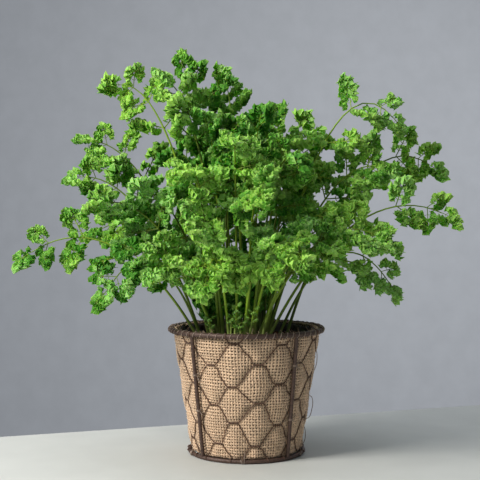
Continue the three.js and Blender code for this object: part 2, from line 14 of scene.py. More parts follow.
import bmesh
import bpy
from mathutils import Matrix, Vector, kdtree, noise

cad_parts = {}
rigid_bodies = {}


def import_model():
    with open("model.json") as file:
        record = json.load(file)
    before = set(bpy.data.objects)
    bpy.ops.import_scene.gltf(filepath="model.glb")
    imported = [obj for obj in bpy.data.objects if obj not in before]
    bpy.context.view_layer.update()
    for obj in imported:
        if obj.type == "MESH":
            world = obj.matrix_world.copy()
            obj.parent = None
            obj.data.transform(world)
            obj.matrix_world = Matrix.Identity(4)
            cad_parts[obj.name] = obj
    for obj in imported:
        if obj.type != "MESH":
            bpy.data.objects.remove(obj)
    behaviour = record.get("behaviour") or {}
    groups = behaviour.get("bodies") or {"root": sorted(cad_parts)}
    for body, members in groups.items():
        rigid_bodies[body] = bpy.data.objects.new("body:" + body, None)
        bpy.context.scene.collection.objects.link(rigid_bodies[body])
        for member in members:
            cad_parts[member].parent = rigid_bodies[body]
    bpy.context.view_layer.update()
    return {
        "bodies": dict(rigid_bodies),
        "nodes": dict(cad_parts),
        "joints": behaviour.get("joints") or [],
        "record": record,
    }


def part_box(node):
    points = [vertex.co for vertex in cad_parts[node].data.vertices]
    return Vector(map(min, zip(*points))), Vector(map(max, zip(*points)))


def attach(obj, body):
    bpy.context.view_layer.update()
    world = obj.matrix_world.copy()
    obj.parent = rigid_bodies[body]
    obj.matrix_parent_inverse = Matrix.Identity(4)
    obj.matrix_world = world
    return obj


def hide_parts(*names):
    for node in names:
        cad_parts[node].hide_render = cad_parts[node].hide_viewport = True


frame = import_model()

bl_info = {
    "name": "Potted Curly Parsley",
    "version": (1, 0, 0),
    "blender": (4, 5, 0),
    "location": "View3D > Sidebar > Parsley",
    "description": "Builds a clump of curly parsley in a wire basket pot lined with hessian",
    "category": "Add Mesh",
}

MM = 0.001
BODY = "root"
UP = Vector((0, 0, 1))

# ---- driving dimensions

RIM_LOW, RIM_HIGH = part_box("rim_ring")
BASE_LOW, BASE_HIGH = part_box("base_ring")

RIB_TURNS = [(-47.6, -44), (43.3, 38.5), (136, 134), (227, 225)]  # degrees from the front: foot, head
CROSS_WIRE = 2 * MM
CROSS_SINK = 1 * MM
WIRE_STEPS = 96  # steps round a ring
WIRE_SIDES = 12

NET_COLUMNS = 18
NET_PITCH = 32.2 * MM  # height of one mesh
NET_TWIST = 7.5 * MM  # length of a twist
NET_FIRST = 15 * MM  # height of the lowest twist in the even columns
NET_TURN = math.radians(9)
NET_INSET = 2.5 * MM  # from the wall line in to the netting
NET_WIRE = 0.8 * MM
NET_ROWS = 3
TIE_WIRE = 0.6 * MM
LASHING_TURNS = 62  # of the thin wire round the rim
LASHING_STEPS = 10
RIB_TIES = [(0, 69), (0, 40), (1, 77), (1, 33), (2, 60), (3, 45)]  # rib and height in millimetres
BASE_WRAPS = [-6, 62, 131, 204, 290]  # degrees round from the front
# Loops of netting wire that stand off: degrees round, distance out and height in millimetres.
LOOSE_LOOPS = [
    [(74, -2.2, 49), (80, 0.2, 47), (86, 1.8, 42), (86, 2.1, 36), (81, 1, 30), (73, -2.2, 29)],
    [(84, -2.2, 86), (88, -0.4, 80), (90, 0.2, 72), (87, -2.2, 64)],
    [(96, -2.2, 22), (91, -0.2, 16), (84, 0.2, 11), (79, -1, 7)],
    [(168, -2.2, 70), (174, 1.6, 64), (176, 1.2, 55), (172, -2.2, 50)],
]
TRIM_SEED = 23
TWIST_TURNS = 2
TWIST_WANDER = 0.035  # how far a twist stands out of true, round the pot
TWIST_SHIFT = 1.8 * MM  # and in height
TWIST_STEPS = 16
SLANT_STEPS = 8
SLANT_EASE = 0.035
SLANT_KINK = 0.03

WARPS = 144  # upright threads
WEFTS = 43  # threads that run round
WEAVE_INSET = 4.1 * MM  # from the wall line in to the middle of the cloth
WEAVE_LOW = 3.6 * MM
WEAVE_HIGH = 103.4 * MM
YARN = 1.5 * MM  # thickness of a thread before it is flattened
YARN_FLAT = 0.62
WEAVE_RISE = 0.62 * MM  # half the height of a thread's wave before it is flattened
PILLOW = 3.0 * MM  # how far the cloth swells out of the meshes
PILLOW_EASE = 4.5 * MM
CLOTH_SAG = 0.5 * MM
WEAVE_SLIP = 0.02  # how far threads are pulled out of true, round the pot
WEAVE_DROP = 1.1 * MM  # and in height
WEAVE_ENDS = 9 * MM  # over which the drop fades out
WEAVE_PATCH = 70  # patches of pulled threads to the metre

FRAYED = 170  # loose fibres along the top edge
FUZZ = 150  # fibres that stand off the wall
FRAY_SEED = 77

CLOTH_THICKNESS = 0.35 * MM
CLOTH_INSET = 4.55 * MM
CLOTH_FLOOR = 3.5 * MM
FILM_THICKNESS = 0.25 * MM
FILM_INSET = 5.3 * MM
FILM_FLOOR = 5 * MM
FILM_TOP = 102.6 * MM
FILM_CREASE = 4.5 * MM
FILM_WAVE = 2 * MM
SOIL_INSET = 6.4 * MM
SOIL_FLOOR = 6.1 * MM
SOIL_EDGE = 93.5 * MM
SOIL_CROWN = 3 * MM
SOIL_LUMPS = 0.7 * MM
CRUMBS = 320
CRUMB_SEED = 11

STALK_SINK = 11 * MM
STALK_STEPS = 26
STALK_SIDES = 10
TWIG_SIDES = 6
LEAF_MESHES = 14  # different leaflets, which are turned and scaled about the plant
LEAF_TURNS_TO_LIGHT = 0.8
LEAF_PLEATS = 10
LEAF_ROWS = 3
LEAF_FOLD = 0.18  # height of a pleat; this and the next three are shares of a leaflet's length
LEAF_FRINGE = 0.24  # how far every other pleat is cut back at the edge
LEAF_NOTCH = 0.45  # depth of the notches between the lobes
LEAF_THICKNESS = 0.03
FROND_SEED = 900
SHOOT_SEED = 41
YOUNG_ROOT = (-4, -30)  # middle of the youngest stalks, and how far they spread, in millimetres
YOUNG_SPREAD = (20, 22)
PALE_FOOT = 24 * MM  # height over which a stalk's pale foot fades
TONE_RISE = 110 * MM  # height over which a stalk takes its upper tone

# ---- the plant

# Fronds that make the plant's outline, in millimetres and degrees: tip, how far the stalk's arch aims
# above it, length of the leafy part, foot in the soil and turn about the stalk.
OUTLINE_FRONDS = [
    ((-177, -12, 167), 38, 96, (-34, -9), -70),
    ((-110, -46, 138), 54, 78, (-33, -20), -50),
    ((-138, 12, 230), 2, 66, (-35, 2), 70),
    ((-130, 34, 262), -8, 62, (-29, 13), -60),
    ((-115, -34, 207), 8, 58, (-22, -13), 55),
    ((-128, 48, 186), 22, 58, (-27, 27), -55),
    ((-104, 6, 307), 2, 60, (-22, 1), 75),
    ((-52, 14, 320), -26, 76, (-10, 9), 60),
    ((-60, -20, 303), -16, 56, (-14, -7), -65),
    ((-17, 36, 311), -24, 58, (-1, 18), 65),
    ((56, 22, 256), -6, 58, (11, 14), -60),
    ((124, 10, 280), 52, 88, (14, 5), 70),
    ((162, 50, 243), 34, 70, (31, 17), -60),
    ((110, -4, 238), 8, 62, (15, -6), 55),
    ((161, -14, 199), 28, 84, (13, -18), -65),
    ((106, -52, 178), 30, 60, (4, -29), 45),
    ((123, 26, 140), 60, 70, (24, 12), 65),
]
LOW_FRONDS = [  # short fronds that fill the clump low down
    ((-84, -52, 152), 30, 58, (-22, -27), 40),
    ((-30, -86, 152), 34, 56, (-13, -33), -35),
    ((16, -84, 160), 28, 56, (-4, -34), 50),
    ((62, -62, 162), 30, 58, (9, -34), -45),
    ((-46, 80, 152), 30, 56, (-13, 30), 40),
    ((54, 78, 154), 30, 56, (16, 29), -40),
]
DOME_FRONDS = 26  # the rest of the clump, with tips on a dome a golden angle apart
DOME_SEED = 1170
DOME_FIRST_TURN = 15
GOLDEN_TURN = 137.508
DOME_ACROSS = (92, 122)
DOME_HEIGHT = 172
DOME_FLOOR = 112
ROOTS_MIDDLE_X = -6
ROOTS_INNER = 4
ROOTS_ACROSS = (20, 26)
LEAN_LOW = 0.22  # how far towards its tip a stalk has leaned, low down
LEAN_HIGH = 0.6  # and at the shoulder of its arch

# Where leaves stand on a frond: share of the leafy part, length of their stalk and size in
# millimetres. All but the last stand in pairs.
LEAVES = [(0.1, 19, 16), (0.53, 13, 16), (0.84, 6, 14), (1, 3, 16)]

# Young shoots: foot across and back, height and lean to the right, in millimetres.
SHOOTS = [(-13, -41, 24, 1), (-10, -43, 33, 2), (-4, -42, 19, -2), (1, -40, 29, 5), (-27, -34, 21, -4)]
SHADED_SHOOTS = 22

# Where pairs of leaflets stand on a leaf beyond its stalk: place, length of their twigs and size, as
# shares of the leaf's size.
LEAFLET_PAIRS = [(0.0, 0.16, 0.66), (0.3, 0.14, 0.6), (0.56, 0.1, 0.5)]


def mixed(low, high, share):
    """The value a share of the way from low to high."""
    return low + (high - low) * share


def spread(a, b=0, c=0):
    """A repeatable draw from -1 to 1 for the numbers given."""
    s = math.sin(a * 12.9898 + b * 78.233 + c * 37.719) * 43758.5453
    return 2 * (s - math.floor(s)) - 1


def waver(x, y=0, z=0):
    """Smooth noise from about -1 to 1 at a place."""
    return noise.noise(Vector((x, y, z)))


def shade(code):
    """A hexadecimal sRGB colour as the linear one that shaders use."""
    parts = [((code >> shift) & 255) / 255 for shift in (16, 8, 0)]
    return tuple(p / 12.92 if p <= 0.04045 else ((p + 0.055) / 1.055) ** 2.4 for p in parts)


def scaled(colour, share):
    """A linear colour made darker or lighter."""
    return tuple(min(1, share * part) for part in colour)


def outward(turn):
    """The direction away from the axis, a turn round from the front."""
    return Vector((math.sin(turn), -math.cos(turn), 0))


# ---- settings


def length_setting(name, description, default):
    """A length that a user may change."""
    return bpy.props.FloatProperty(name=name, description=description, default=default, unit="LENGTH")


def colour_setting(name, description, code):
    """A colour that a user may change, from its hexadecimal code."""
    return bpy.props.FloatVectorProperty(
        name=name, description=description, default=shade(code), subtype="COLOR", min=0, max=1,
    )


class PotSettings(bpy.types.PropertyGroup):
    """Sizes and colours of the basket and its lining."""

    rim_diameter: length_setting("Rim diameter", "Across the rim, over the wire", RIM_HIGH.x - RIM_LOW.x)
    base_diameter: length_setting(
        "Base diameter", "Across the base ring, over the wire", BASE_HIGH.x - BASE_LOW.x,
    )
    height: length_setting("Height", "From the foot to the top of the rim", RIM_HIGH.z)
    rim_wire: length_setting("Rim wire", "Thickness of the rim's wire", RIM_HIGH.z - RIM_LOW.z)
    base_wire: length_setting("Base wire", "Thickness of the base ring's wire", BASE_HIGH.z - BASE_LOW.z)
    rib_wire: length_setting("Rib wire", "Thickness of the four upright ribs", 3.2 * MM)
    wire_colour: colour_setting("Wire", "Colour of the wire between its rust spots", 0x30231D)
    rust_colour: colour_setting("Rust", "Colour of the rust on the wire", 0x584339)
    net_colour: colour_setting("Netting", "Colour of the netting between its rust spots", 0x53381F)
    yarn_colour: colour_setting("Hessian", "Colour of the hessian's threads", 0xD3B596)


class PlantSettings(bpy.types.PropertyGroup):
    """Sizes and colours of the parsley."""

    stalk_root: length_setting(
        "Stalk at the soil", "Radius of a stalk where it leaves the soil", 1.35 * MM,
    )
    stalk_neck: length_setting("Stalk at the leaf", "Radius of a stalk where its leaf starts", 0.85 * MM)
    stalk_tip: length_setting("Stalk at the tip", "Radius of a stalk at its tip", 0.42 * MM)
    # The leaf's tone runs between these two colours. It differs at random from leaflet to leaflet, and it
    # also carries painted highlight on the pleats' crests, painted shade in their valleys and the painted
    # shade of the shaded shoots.
    leaf_dark: colour_setting("Dark leaf", "Colour of the oldest leaves", 0x237004)
    leaf_light: colour_setting("Light leaf", "Colour of the youngest leaves", 0x8FC24E)
    stalk_colour: colour_setting("Stalk", "Colour of the stalks", 0x8FB32C)


# ---- the pot's form


class PotForm:
    """The pot's wall, which joins the centres of its two rings' wires."""

    def __init__(self, sizes):
        self.rim_radius = (sizes.rim_diameter - sizes.rim_wire) / 2
        self.base_radius = (sizes.base_diameter - sizes.base_wire) / 2
        self.rim_height = sizes.height - sizes.rim_wire / 2
        self.base_height = sizes.base_wire / 2

    def wall(self, z):
        """Distance from the axis to the wall line at a height."""
        share = (z - self.base_height) / (self.rim_height - self.base_height)
        return mixed(self.base_radius, self.rim_radius, share)

    def point(self, turn, inset, z):
        """A point a distance in from the wall line, with turn going round from the front."""
        radius = self.wall(z) - inset
        return Vector((radius * math.sin(turn), -radius * math.cos(turn), z))

    def rib_turn(self, rib, z):
        """How far round from the front a rib stands at a height."""
        foot, head = RIB_TURNS[rib]
        return math.radians(mixed(foot, head, z / self.rim_height))


def soil_height(pot, x, y):
    """Height of the soil: a low crown with two waves of lumps across it."""
    crown = 1 - (math.hypot(x, y) / (pot.wall(SOIL_EDGE) - SOIL_INSET)) ** 2
    u, v = x / MM, y / MM
    lumps = math.sin(u / 5 + 1) * math.cos(v / 6) + 0.6 * math.sin(v / 2.6 + u / 9)
    return SOIL_EDGE + SOIL_CROWN * crown + SOIL_LUMPS * lumps


# ---- making pieces


def tube_mesh(routes, sides):
    """A mesh of round wires. Each route is its points, its radii and whether it closes on itself."""
    line = bpy.data.curves.new("route", "CURVE")
    line.dimensions = "3D"
    line.bevel_depth = 1.0
    line.bevel_resolution = sides // 2 - 2
    line.use_fill_caps = True
    for points, radii, closed in routes:
        spline = line.splines.new("POLY")
        spline.points.add(len(points) - 1)
        spline.points.foreach_set("co", [value for p in points for value in (*p, 1)])
        spline.points.foreach_set("radius", radii)
        spline.use_cyclic_u = closed
        spline.use_smooth = True
    holder = bpy.data.objects.new("route", line)
    bpy.context.collection.objects.link(holder)
    shown = holder.evaluated_get(bpy.context.evaluated_depsgraph_get())
    mesh = bpy.data.meshes.new_from_object(shown)
    bpy.data.objects.remove(holder)
    bpy.data.curves.remove(line)
    return mesh


def even(points, radius, closed=False):
    """A route of one radius."""
    return points, [radius] * len(points), closed


def add_piece(name, mesh, materials, slot, *nodes):
    """Shows a mesh as a piece that stands for the nodes named."""
    mesh.name = name
    for material in materials:
        mesh.materials.append(material)
    piece = bpy.data.objects.new(name, mesh)
    bpy.context.collection.objects.link(piece)
    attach(piece, BODY)
    if nodes:
        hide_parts(*nodes)
    return piece


def mesh_of(bm, smooth=True):
    """Turns a bmesh into a mesh and frees it."""
    for face in bm.faces if smooth else ():
        face.smooth = True
    mesh = bpy.data.meshes.new("made")
    bm.to_mesh(mesh)
    bm.free()
    return mesh


def spun(profile, steps):
    """A surface made by spinning a profile of (radius, height) points once round the axis."""
    bm = bmesh.new()
    verts = [bm.verts.new((0, -radius, z)) for radius, z in profile]
    edges = [bm.edges.new(pair) for pair in zip(verts, verts[1:])]
    bmesh.ops.spin(
        bm, geom=verts + edges, cent=(0, 0, 0), axis=UP, angle=math.tau, steps=steps, use_merge=True,
    )
    bmesh.ops.remove_doubles(bm, verts=bm.verts, dist=0.01 * MM)
    bmesh.ops.recalc_face_normals(bm, faces=bm.faces)
    return bm


# ---- finishes


class Finish:
    """A node material, built up a node at a time."""

    def __init__(self, name, roughness, metallic=0.0, specular=0.5):
        self.material = bpy.data.materials.new(name)
        self.material.use_nodes = True
        self.tree = self.material.node_tree
        self.shader = self.tree.nodes["Principled BSDF"]
        self.shader.inputs["Roughness"].default_value = roughness
        self.shader.inputs["Metallic"].default_value = metallic
        self.shader.inputs["Specular IOR Level"].default_value = specular
        self.place = self.node("ShaderNodeTexCoord").outputs["Object"]

    def node(self, kind, inputs=None, **values):
        """A node with its properties set and its inputs filled or linked."""
        made = self.tree.nodes.new(kind)
        for key, value in values.items():
            setattr(made, key, value)
        for key, value in (inputs or {}).items():
            self.feed(made.inputs[key], value)
        return made

    def feed(self, socket, value):
        """Links a socket to another, or gives it a value."""
        if isinstance(value, bpy.types.NodeSocket):
            self.tree.links.new(value, socket)
        else:
            socket.default_value = value

    def noise(self, size, detail=3.0, stretch=(1, 1, 1)):
        """Noise whose spots have about the size given."""
        mapping = self.node("ShaderNodeMapping", {"Vector": self.place, "Scale": stretch})
        made = self.node(
            "ShaderNodeTexNoise",
            {"Vector": mapping.outputs["Vector"], "Scale": 1 / size, "Detail": detail},
        )
        return made.outputs["Fac"]

    def attribute(self, name):
        """A number that the mesh carries."""
        return self.node("ShaderNodeAttribute", attribute_name=name).outputs["Fac"]

    def ramp(self, factor, stops):
        """Colours from stops of (place, linear colour)."""
        made = self.node("ShaderNodeValToRGB", {"Fac": factor})
        elements = made.color_ramp.elements
        while len(elements) < len(stops):
            elements.new(0.5)
        for element, (place, colour) in zip(elements, stops):
            element.position = place
            element.color = (*colour, 1)
        return made.outputs["Color"]

    def math(self, operation, *values):
        """A sum, product or other combination of numbers."""
        made = self.node("ShaderNodeMath", operation=operation)
        for socket, value in zip(made.inputs, values):
            self.feed(socket, value)
        return made.outputs["Value"]

    def plus(self, first, second, weight):
        """A number with a weighted second one added."""
        return self.math("ADD", first, self.math("MULTIPLY", second, weight))

    def blend(self, factor, first, second):
        """Two colours mixed by a factor."""
        made = self.node("ShaderNodeMix", data_type="RGBA")
        self.feed(made.inputs["Factor"], factor)
        self.feed(made.inputs["A"], first)
        self.feed(made.inputs["B"], second)
        return made.outputs["Result"]

    def colour(self, socket):
        """Sets the base colour."""
        self.feed(self.shader.inputs["Base Color"], socket)

    def rough(self, factor, low, high):
        """Roughness between two values by a factor."""
        made = self.node("ShaderNodeMapRange", {"Value": factor, "To Min": low, "To Max": high})
        self.feed(self.shader.inputs["Roughness"], made.outputs["Result"])

    def relief(self, height, depth, strength=1.0):
        """Bumps of about the depth given."""
        made = self.node(
            "ShaderNodeBump", {"Height": height, "Distance": depth, "Strength": strength},
        )
        self.feed(self.shader.inputs["Normal"], made.outputs["Normal"])


def mottled(name, roughness, specular, size, detail, stops):
    """A finish in spots of colour, with the noise that places them."""
    finish = Finish(name, roughness, specular=specular)
    spots = finish.noise(size, detail)
    finish.colour(finish.ramp(spots, stops))
    return finish, spots


def wire_finish(name, wire, rust):
    """Wire with fine rust, worn lighter in spots."""
    finish = Finish(name, 0.5, metallic=0.25, specular=0.5)
    spots = finish.noise(3 * MM, 6)
    grain = finish.noise(0.5 * MM, 2)
    worn = scaled(rust, 1.7)
    base = finish.ramp(spots, [(0.3, wire), (0.52, rust), (0.6, wire), (0.8, worn)])
    finish.colour(finish.blend(0.35, base, finish.ramp(grain, [(0.3, wire), (0.75, worn)])))
    finish.rough(spots, 0.36, 0.7)
    finish.relief(grain, 0.15 * MM, 0.8)
    return finish.material


def yarn_finish(name, colour, stretch):
    """Hessian thread: coarse fibres that run along it, and darker and lighter lengths."""
    finish = Finish(name, 0.95, specular=0.15)
    fibres = finish.noise(0.35 * MM, 3, stretch)
    lengths = finish.noise(6 * MM, 3, stretch)
    dark, light = scaled(colour, 0.42), scaled(colour, 1.22)
    body = finish.ramp(lengths, [(0.3, dark), (0.52, colour), (0.75, light)])
    finish.colour(finish.blend(0.4, body, finish.ramp(fibres, [(0.3, dark), (0.6, light)])))
    finish.relief(fibres, 0.12 * MM, 0.7)
    finish.shader.inputs["Sheen Weight"].default_value = 0.25
    return finish.material


def painted_shade_cloth_finish(colour):
    """The back of the hessian, painted dark as the shade that shows between its threads."""
    stops = [(0.35, scaled(colour, 0.08)), (0.7, scaled(colour, 0.22))]
    finish, mottle = mottled("hessian_back_painted_shade", 0.95, 0.1, 1.5 * MM, 3, stops)
    finish.relief(mottle, 0.3 * MM)
    return finish.material


def film_finish():
    """Dark crinkled plastic film."""
    stops = [(0.35, shade(0x24201E)), (0.75, shade(0x7A746E))]
    finish, creases = mottled("liner_film", 0.35, 0.5, 4 * MM, 4, stops)
    finish.rough(creases, 0.25, 0.5)
    finish.relief(creases, 1.2 * MM, 0.8)
    return finish.material


def soil_finish():
    """Dark crumbly potting soil."""
    stops = [(0.3, shade(0x21130C)), (0.55, shade(0x5A3421)), (0.8, shade(0x875F45))]
    finish, crumbs = mottled("soil", 0.95, 0.2, 1.6 * MM, 6, stops)
    finish.relief(crumbs, 1.0 * MM)
    return finish.material


def leaf_finish(plant_settings):
    """Leaf: lighter on its ridges as painted highlight and darker in its valleys as painted shade, with its
    own tone for each leaflet and cooler, bluish patches of painted reflection.
    """
    finish = Finish("parsley_leaf", 0.55, specular=0.2)
    dark, light = plant_settings.leaf_dark, plant_settings.leaf_light
    middle = tuple(mixed(a, b, 0.45) for a, b in zip(dark, light))
    sky_reflection = shade(0x86BE66)
    mottle = finish.noise(2.0 * MM, 5)
    tone = finish.plus(finish.attribute("tone"), mottle, 0.66)
    # The ridge value paints highlight on the pleats' crests and shade in their valleys.
    tone = finish.plus(tone, finish.attribute("ridge_highlight_and_pale_foot"), 0.26)
    body = finish.ramp(tone, [(0.47, dark), (0.86, middle), (1.0, light)])
    # Painted reflection: in large patches the leaf takes a bluer green, palest at the top of its tones, for
    # sky reflected on the leaves.
    reflected_body = finish.ramp(tone, [(0.45, shade(0x185E12)), (0.85, shade(0x47882A)), (1.0, sky_reflection)])
    patches = finish.ramp(finish.noise(55 * MM, 2), [(0.42, (0, 0, 0)), (0.62, (0.7, 0.7, 0.7))])
    finish.colour(finish.blend(patches, body, reflected_body))
    finish.rough(mottle, 0.5, 0.75)
    finish.shader.inputs["Subsurface Weight"].default_value = 0.4
    finish.shader.inputs["Subsurface Radius"].default_value = (0.5, 1.0, 0.12)
    finish.shader.inputs["Subsurface Scale"].default_value = 2 * MM
    finish.relief(finish.noise(1.1 * MM, 3), 0.5 * MM, 0.8)
    return finish.material


def stalk_finish(plant_settings):
    """Ribbed green stalk."""
    finish = Finish("parsley_stalk", 0.45, specular=0.3)
    colour = plant_settings.stalk_colour
    streaks = finish.noise(1.2 * MM, 3, (1, 1, 0.08))
    tone = finish.plus(finish.attribute("tone"), streaks, 0.3)
    # The dark end of these tones also paints the shade on the shaded shoots' stalks.
    body = finish.ramp(tone, [(0.2, scaled(colour, 0.13)), (0.62, scaled(colour, 0.5)), (1.0, colour)])
    foot = finish.math("MULTIPLY", finish.attribute("ridge_highlight_and_pale_foot"), 0.75)
    finish.colour(finish.blend(foot, body, (*shade(0xC9CC93), 1)))
    finish.relief(streaks, 0.3 * MM, 0.6)
    return finish.material


# ---- the basket


def ring_route(radius, height, wobble, seed):
    """A closed ring that wanders a little, as bent wire does."""
    points = []
    for i in range(WIRE_STEPS):
        turn = math.tau * i / WIRE_STEPS
        ripple = Vector((math.cos(turn), math.sin(turn), seed)) * 3
        out = radius + wobble * noise.noise(ripple)
        lift = height + wobble * abs(noise.noise(ripple + Vector((7, 0, 0))))
        points.append(Vector((out * math.sin(turn), -out * math.cos(turn), lift)))
    return points


def build_rings(sizes, wire):
    """The rim and the base ring."""
    pot = PotForm(sizes)
    rim = ring_route(pot.rim_radius, pot.rim_height, 0.35 * MM, 1)
    base = ring_route(pot.base_radius, pot.base_height, 0.2 * MM, 5)
    half = sizes.rim_wire / 2
    add_piece("rim_wire", tube_mesh([even(rim, half, True)], WIRE_SIDES), [wire], "rusty_wire", "rim_ring")
    lower = tube_mesh([even(base, sizes.base_wire / 2, True)], WIRE_SIDES)
    add_piece("base_wire", lower, [wire], "rusty_wire", "base_ring")


def build_ribs(sizes, wire):
    """Four upright ribs, whose ends are turned round the rings."""
    pot = PotForm(sizes)
    foot = sizes.base_wire * 0.8
    head = sizes.height - sizes.rim_wire * 0.8
    steps = 16
    for i in range(len(RIB_TURNS)):
        points = []
        for k in range(steps + 1):
            z = mixed(foot, head, k / steps)
            sway = 0.008 * waver(i * 5, z * 40, 0)
            points.append(pot.point(pot.rib_turn(i, z) + sway, 0, z))
        mesh = tube_mesh([even(points, sizes.rib_wire / 2)], WIRE_SIDES)
        add_piece(f"rib_wire_{i + 1}", mesh, [wire], "rusty_wire", f"rib_{i + 1}")


def wound(places, radius, pitch):
    """A thin wire wound round a line of (centre, outward, along) places that stand pitch apart."""
    points = []
    for i, (centre, out, along) in enumerate(places):
        angle = math.tau * i / pitch
        points.append(centre + out * radius * math.cos(angle) + along * radius * math.sin(angle))
    return points


def tie(pot, rib, z, reach, rng):
    """A tie wire: two turns round a rib, with its ends left standing off."""
    turn = pot.rib_turn(rib, z)
    out = outward(turn)
    side = UP.cross(out)
    points = []
    for k in range(25):
        angle = math.tau * k / 12
        lift = 1.5 * MM * k / 24 + 0.3 * MM * math.sin(angle)
        centre = pot.point(turn, 0, z + lift)
        points.append(centre + (side * math.cos(angle) + out * math.sin(angle)) * reach)
    for end, grow in ((0, -1), (-1, 1)):
        tail = points[end] + (side * rng.uniform(2, 4) + UP * grow * rng.uniform(1, 4) + out) * MM
        points.insert(0 if end == 0 else len(points), tail)
    return even(points, TIE_WIRE / 2)


def build_trim(sizes, wire):
    """Thin wire lashed round the rim and the base, ties on the ribs and loose loops of the netting."""
    pot = PotForm(sizes)
    rng = random.Random(TRIM_SEED)
    rim_reach = sizes.rim_wire / 2 + TIE_WIRE / 2
    rim_places = []
    steps = LASHING_TURNS * LASHING_STEPS
    for i in range(steps):
        turn = math.tau * i / steps + 0.05 * waver(0.02 * i, 0, 0)
        out = outward(turn)
        rim_places.append((out * pot.rim_radius + UP * pot.rim_height, out, UP))
    routes = [even(wound(rim_places, rim_reach, LASHING_STEPS), TIE_WIRE / 2, True)]
    for rib, z in RIB_TIES:
        routes.append(tie(pot, rib, z * MM, sizes.rib_wire / 2 + TIE_WIRE / 2, rng))
    base_reach = sizes.base_wire / 2 + TIE_WIRE / 2
    for first in BASE_WRAPS:
        places = []
        for k in range(31):
            turn = math.radians(first + 0.12 * k)
            out = outward(turn)
            places.append((out * pot.base_radius + UP * pot.base_height, out, UP))
        points = wound(places, base_reach, 10)
        points = [Vector((p.x, p.y, max(p.z, TIE_WIRE / 2))) for p in points]
        points.append(pot.point(math.radians(first + 4), 0.4 * MM, rng.uniform(6, 9) * MM))
        routes.append(even(points, TIE_WIRE / 2))
    for places in LOOSE_LOOPS:
        corners = [pot.point(math.radians(turn), -stand * MM, z * MM) for turn, stand, z in places]
        routes.append(even(smoothed(corners, 6), NET_WIRE * 0.4))
    add_piece("tie_wires", tube_mesh(routes, 6), [wire], "rusty_wire")


def smoothed(corners, steps):
    """A smooth line through corners."""
    ends = [2 * corners[0] - corners[1], *corners, 2 * corners[-1] - corners[-2]]
    points = []
    for a, b, c, d in zip(ends, ends[1:], ends[2:], ends[3:]):
        for k in range(steps):
            t = k / steps
            bend = (2 * a - 5 * b + 4 * c - d) * t * t + (3 * b - a - 3 * c + d) * t**3
            points.append(b + ((c - a) * t + bend) * 0.5)
    return [*points, corners[-1]]


def build_cross(sizes, wire):
    """Two crossed wires that carry the lining."""
    pot = PotForm(sizes)
    reach = pot.base_radius - sizes.base_wire / 2 - 0.65 * MM
    low = CROSS_WIRE / 2
    high = low + CROSS_WIRE - CROSS_SINK
    routes = []
    for way, z in ((Vector((1, 0, 0)), low), (Vector((0, 1, 0)), high)):
        points = [way * mixed(-reach, reach, k / 12) + UP * z for k in range(13)]
        routes.append(even(points, CROSS_WIRE / 2))
    add_piece("base_cross_wires", tube_mesh(routes, 8), [wire], "rusty_wire", "base_cross")


# ---- the netting


def twist_place(column, row):
    """Turn and height of a twist, a little out of true as on real netting."""
    column %= NET_COLUMNS
    turn = NET_TURN + column * math.tau / NET_COLUMNS
    z = NET_FIRST + (row + (column % 2) / 2) * NET_PITCH
    return turn + TWIST_WANDER * spread(column, row, 1), z + TWIST_SHIFT * spread(column, row, 2)


def twist_points(pot, column, row, side):
    """One wire's way through a twist: side is 1 for the upper wire and -1 for the lower."""
    turn, z = twist_place(column, row)
    radius = pot.wall(z) - NET_INSET
    half = NET_TWIST / 2 / radius
    points = []
    for k in range(TWIST_STEPS + 1):
        share = k / TWIST_STEPS
        angle = math.tau * TWIST_TURNS * share
        lift = side * NET_WIRE / 2 * math.cos(angle)
        out = side * NET_WIRE / 2 * math.sin(angle)
        points.append((turn + mixed(-half, half, share), NET_INSET - out, z + lift))
    return points


def slant_points(start, end):
    """A slanting wire between two twists: it leaves each one level and is steep halfway."""
    gap = (end[0] - start[0] + math.pi) % math.tau - math.pi
    points = []
    for k in range(1, SLANT_STEPS):
        share = k / SLANT_STEPS
        ease = share - SLANT_EASE * math.sin(math.tau * share)
        kink = SLANT_KINK * waver(start[0] * 9, start[2] / MM, 3.5 * share)
        z = mixed(start[2], end[2], ease) + 40 * MM * kink
        points.append((start[0] + gap * share + kink, NET_INSET, z))
    return points


def net_routes(pot, top, bottom):
    """The wires of the netting as lists of points."""
    routes = []
    rings = [(row, row, 1) for row in range(NET_ROWS)] + [(row, row - 1, -1) for row in range(1, NET_ROWS)]
    for even_row, odd_row, side in rings:
        twists = []
        for column in range(NET_COLUMNS):
            odd = column % 2
            twists.append(twist_points(pot, column, odd_row if odd else even_row, -side if odd else side))
        points = []
        for i, twist in enumerate(twists):
            points += twist + slant_points(twist[-1], twists[(i + 1) % NET_COLUMNS][0])
        routes.append(([pot.point(*p) for p in points], True))
    step = math.tau / NET_COLUMNS
    for column in range(NET_COLUMNS):
        odd = column % 2
        row, side, edge = (NET_ROWS - 1, 1, top) if odd else (0, -1, bottom)
        twist = twist_points(pot, column, row, side)
        share = (edge - twist[0][2]) / (side * NET_PITCH / 2)
        run = step * share * 0.68
        before = (twist[0][0] - run, NET_INSET, edge)
        after = (twist[-1][0] + run, NET_INSET, edge)
        points = [before] + slant_points(before, twist[0]) + twist + slant_points(twist[-1], after) + [after]
        line = [pot.point(*p) for p in points]
        hooks = [hook(pot, place[0], odd) for place in (before, after)]
        routes.append((hooks[0][::-1] + line + hooks[1], False))
    return routes


